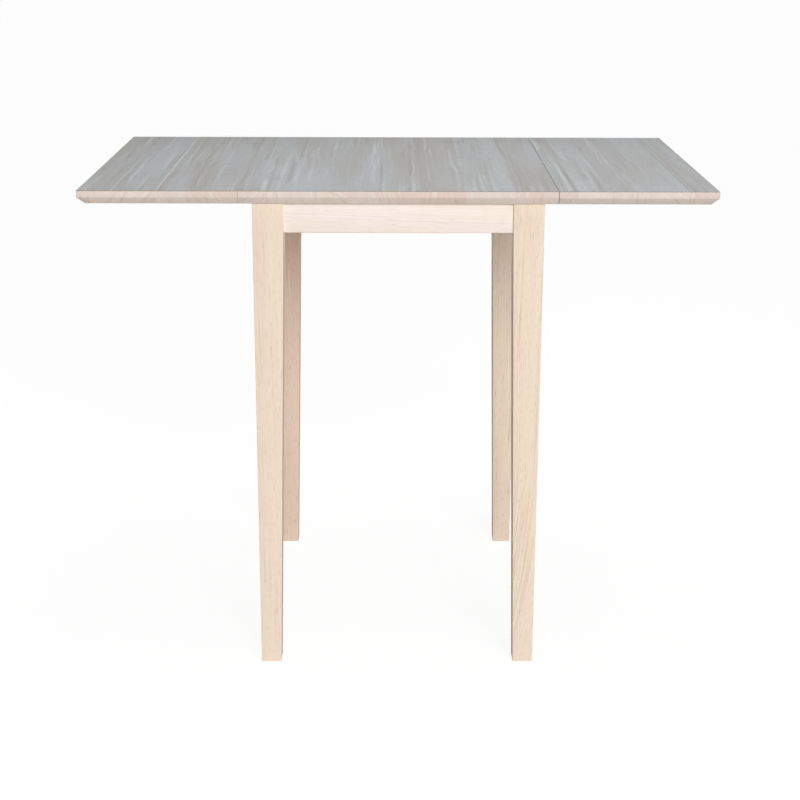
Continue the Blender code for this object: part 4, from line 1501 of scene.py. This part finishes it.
@dataclass(frozen=True)
class Studio:
    """The camera at the photograph's viewpoint, soft light, and a pale floor on white."""

    focal_pixels: float = 1659.2
    camera_place: tuple[float, float, float] = (-0.0152, -2.6166, 1.1318)
    yaw: float = 0.0078
    pitch: float = 0.2927
    roll: float = 0.0035
    floor_half: float = 60.0
    floor_colour: str = "#D4D4D4"
    # Share of plain white that the eye sees on the floor; the rest shows the light and shadow on it
    floor_white: float = 0.75
    floor_glow: float = 1.21
    sky_light: float = 0.15
    lamps: tuple[Lamp, ...] = (
        Lamp("front_light", LampKind.FAR, (0.70, -3.0, 1.54), (0.0, 0.0, 0.5), 0.84, 38.0),
        Lamp("top_soft_box", LampKind.SOFT_BOX, (0.2, -0.1, 2.2), (0.0, -0.1, 0.7), 13.5, 1.2),
        # These stand lower than the top, so that they light its underside and the sides and not its face
        Lamp("back_soft_box", LampKind.SOFT_BOX, (0.0, 2.4, 0.36), (0.0, 0.0, 0.4), 15.0, 0.5, ("floor",)),
        Lamp("left_soft_box", LampKind.SOFT_BOX, (-2.4, 0.7, 0.36), (0.0, 0.0, 0.4), 18.0, 0.5,
             ("floor", "front_right_tapered_leg", "back_right_tapered_leg")),
    )

    def build(self) -> None:
        """Set up the camera, the lamps, the sky and the floor."""
        scene = bpy.context.scene
        scene.view_settings.view_transform = "Standard"
        scene.camera = self.camera()
        scene.world = self.sky()
        self.floor()
        for lamp in self.lamps:
            self.light(lamp)

    def camera(self) -> bpy.types.Object:
        """Set up the camera, which looks along +Y before its yaw, pitch down and roll.

        Returns:
            The camera.
        """
        data = bpy.data.cameras.new("camera")
        data.sensor_width = SENSOR_MM
        data.lens = SENSOR_MM * self.focal_pixels / FRAME_PIXELS
        camera = bpy.data.objects.new("camera", data)
        turn = (Matrix.Rotation(-self.yaw, 4, "Z") @ Matrix.Rotation(math.pi / 2 - self.pitch, 4, "X")
                @ Matrix.Rotation(self.roll, 4, "Z"))
        camera.matrix_world = Matrix.Translation(self.camera_place) @ turn
        bpy.context.scene.collection.objects.link(camera)
        return camera

    def light(self, lamp: Lamp) -> None:
        """Add a lamp and its flags.

        Args:
            lamp: The lamp.
        """
        data = bpy.data.lights.new(lamp.name, lamp.kind.value)
        if lamp.kind is LampKind.FAR:
            data.angle = math.radians(lamp.width)
            data.energy = math.pi * lamp.strength
        else:
            data.size = lamp.width
            data.energy = lamp.strength
        light = bpy.data.objects.new(lamp.name, data)
        light.matrix_world = pointing(lamp.place, Vector(lamp.place) - Vector(lamp.aim))
        bpy.context.scene.collection.objects.link(light)
        if lamp.flags:
            dark = bpy.data.collections.new(f"{lamp.name} flags")
            for number, name in enumerate(lamp.flags):
                dark.objects.link(bpy.data.objects[name])
                dark.collection_objects[number].light_linking.link_state = "EXCLUDE"
            light.light_linking.receiver_collection = dark

    def seen(self, tree: bpy.types.NodeTree) -> bpy.types.NodeSocket:
        """Add the test of a ray that shows the background: straight, mirrored or through glass.

        Args:
            tree: Tree that takes the nodes.

        Returns:
            The socket that is 1 for such a ray and 0 for light that falls on the object.
        """
        rays = add_node(tree, "ShaderNodeLightPath").outputs
        mirrored = add_node(tree, "ShaderNodeMath", {"operation": "MAXIMUM"},
                            {0: rays["Is Glossy Ray"], 1: rays["Is Transmission Ray"]})
        either = add_node(tree, "ShaderNodeMath", {"operation": "MAXIMUM"},
                          {0: rays["Is Camera Ray"], 1: mirrored.outputs[0]})
        return either.outputs[0]

    def sky(self) -> bpy.types.World:
        """Make a world that is white to the eye and gives the object an even soft light.

        Returns:
            The world.
        """
        world = bpy.data.worlds.new("white studio")
        world.use_nodes = True
        tree = world.node_tree
        tree.nodes.clear()
        strength = add_node(tree, "ShaderNodeMapRange", {"To Min": self.sky_light, "To Max": 1.0},
                            {"Value": self.seen(tree)})
        light = add_node(tree, "ShaderNodeBackground", {"Color": linear("#FFFFFF")},
                         {"Strength": strength.outputs[0]})
        add_node(tree, "ShaderNodeOutputWorld", {}, {"Surface": light.outputs[0]})
        return world

    def floor(self) -> None:
        """Add a matt pale floor that looks white away from the table's shadow."""
        side = self.floor_half
        mesh = bpy.data.meshes.new("floor")
        corners = [(x, y, 0.0) for x, y in rectangle((-side, -side), (side, side))]
        mesh.from_pydata(corners, [], [(0, 1, 2, 3)])
        material, tree = new_material("pale studio paper")
        paper = add_node(tree, "ShaderNodeBsdfDiffuse", {"Color": linear(self.floor_colour)})
        white = add_node(tree, "ShaderNodeEmission",
                         {"Color": linear("#FFFFFF"), "Strength": self.floor_glow})
        share = add_node(tree, "ShaderNodeMath", {"operation": "MULTIPLY", 1: self.floor_white},
                         {0: self.seen(tree)})
        both = add_node(tree, "ShaderNodeMixShader", {},
                        {0: share.outputs[0], 1: paper.outputs[0], 2: white.outputs[0]})
        add_node(tree, "ShaderNodeOutputMaterial", {}, {"Surface": both.outputs[0]})
        mesh.materials.append(material)
        floor = bpy.data.objects.new("floor", mesh)
        bpy.context.scene.collection.objects.link(floor)


def main() -> None:
    """Load the frame, dress the table and set up the studio."""
    logging.basicConfig(level=logging.INFO, format="%(message)s")
    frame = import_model()
    bench = Bench(frame)
    for assembly in (TableTop(), LegFrame(), CornerJoints(), LeafHinges(), LeafSlides()):
        assembly.build(bench)
    Studio().build()
    bpy.context.view_layer.update()


if __name__ == "__main__":
    main()
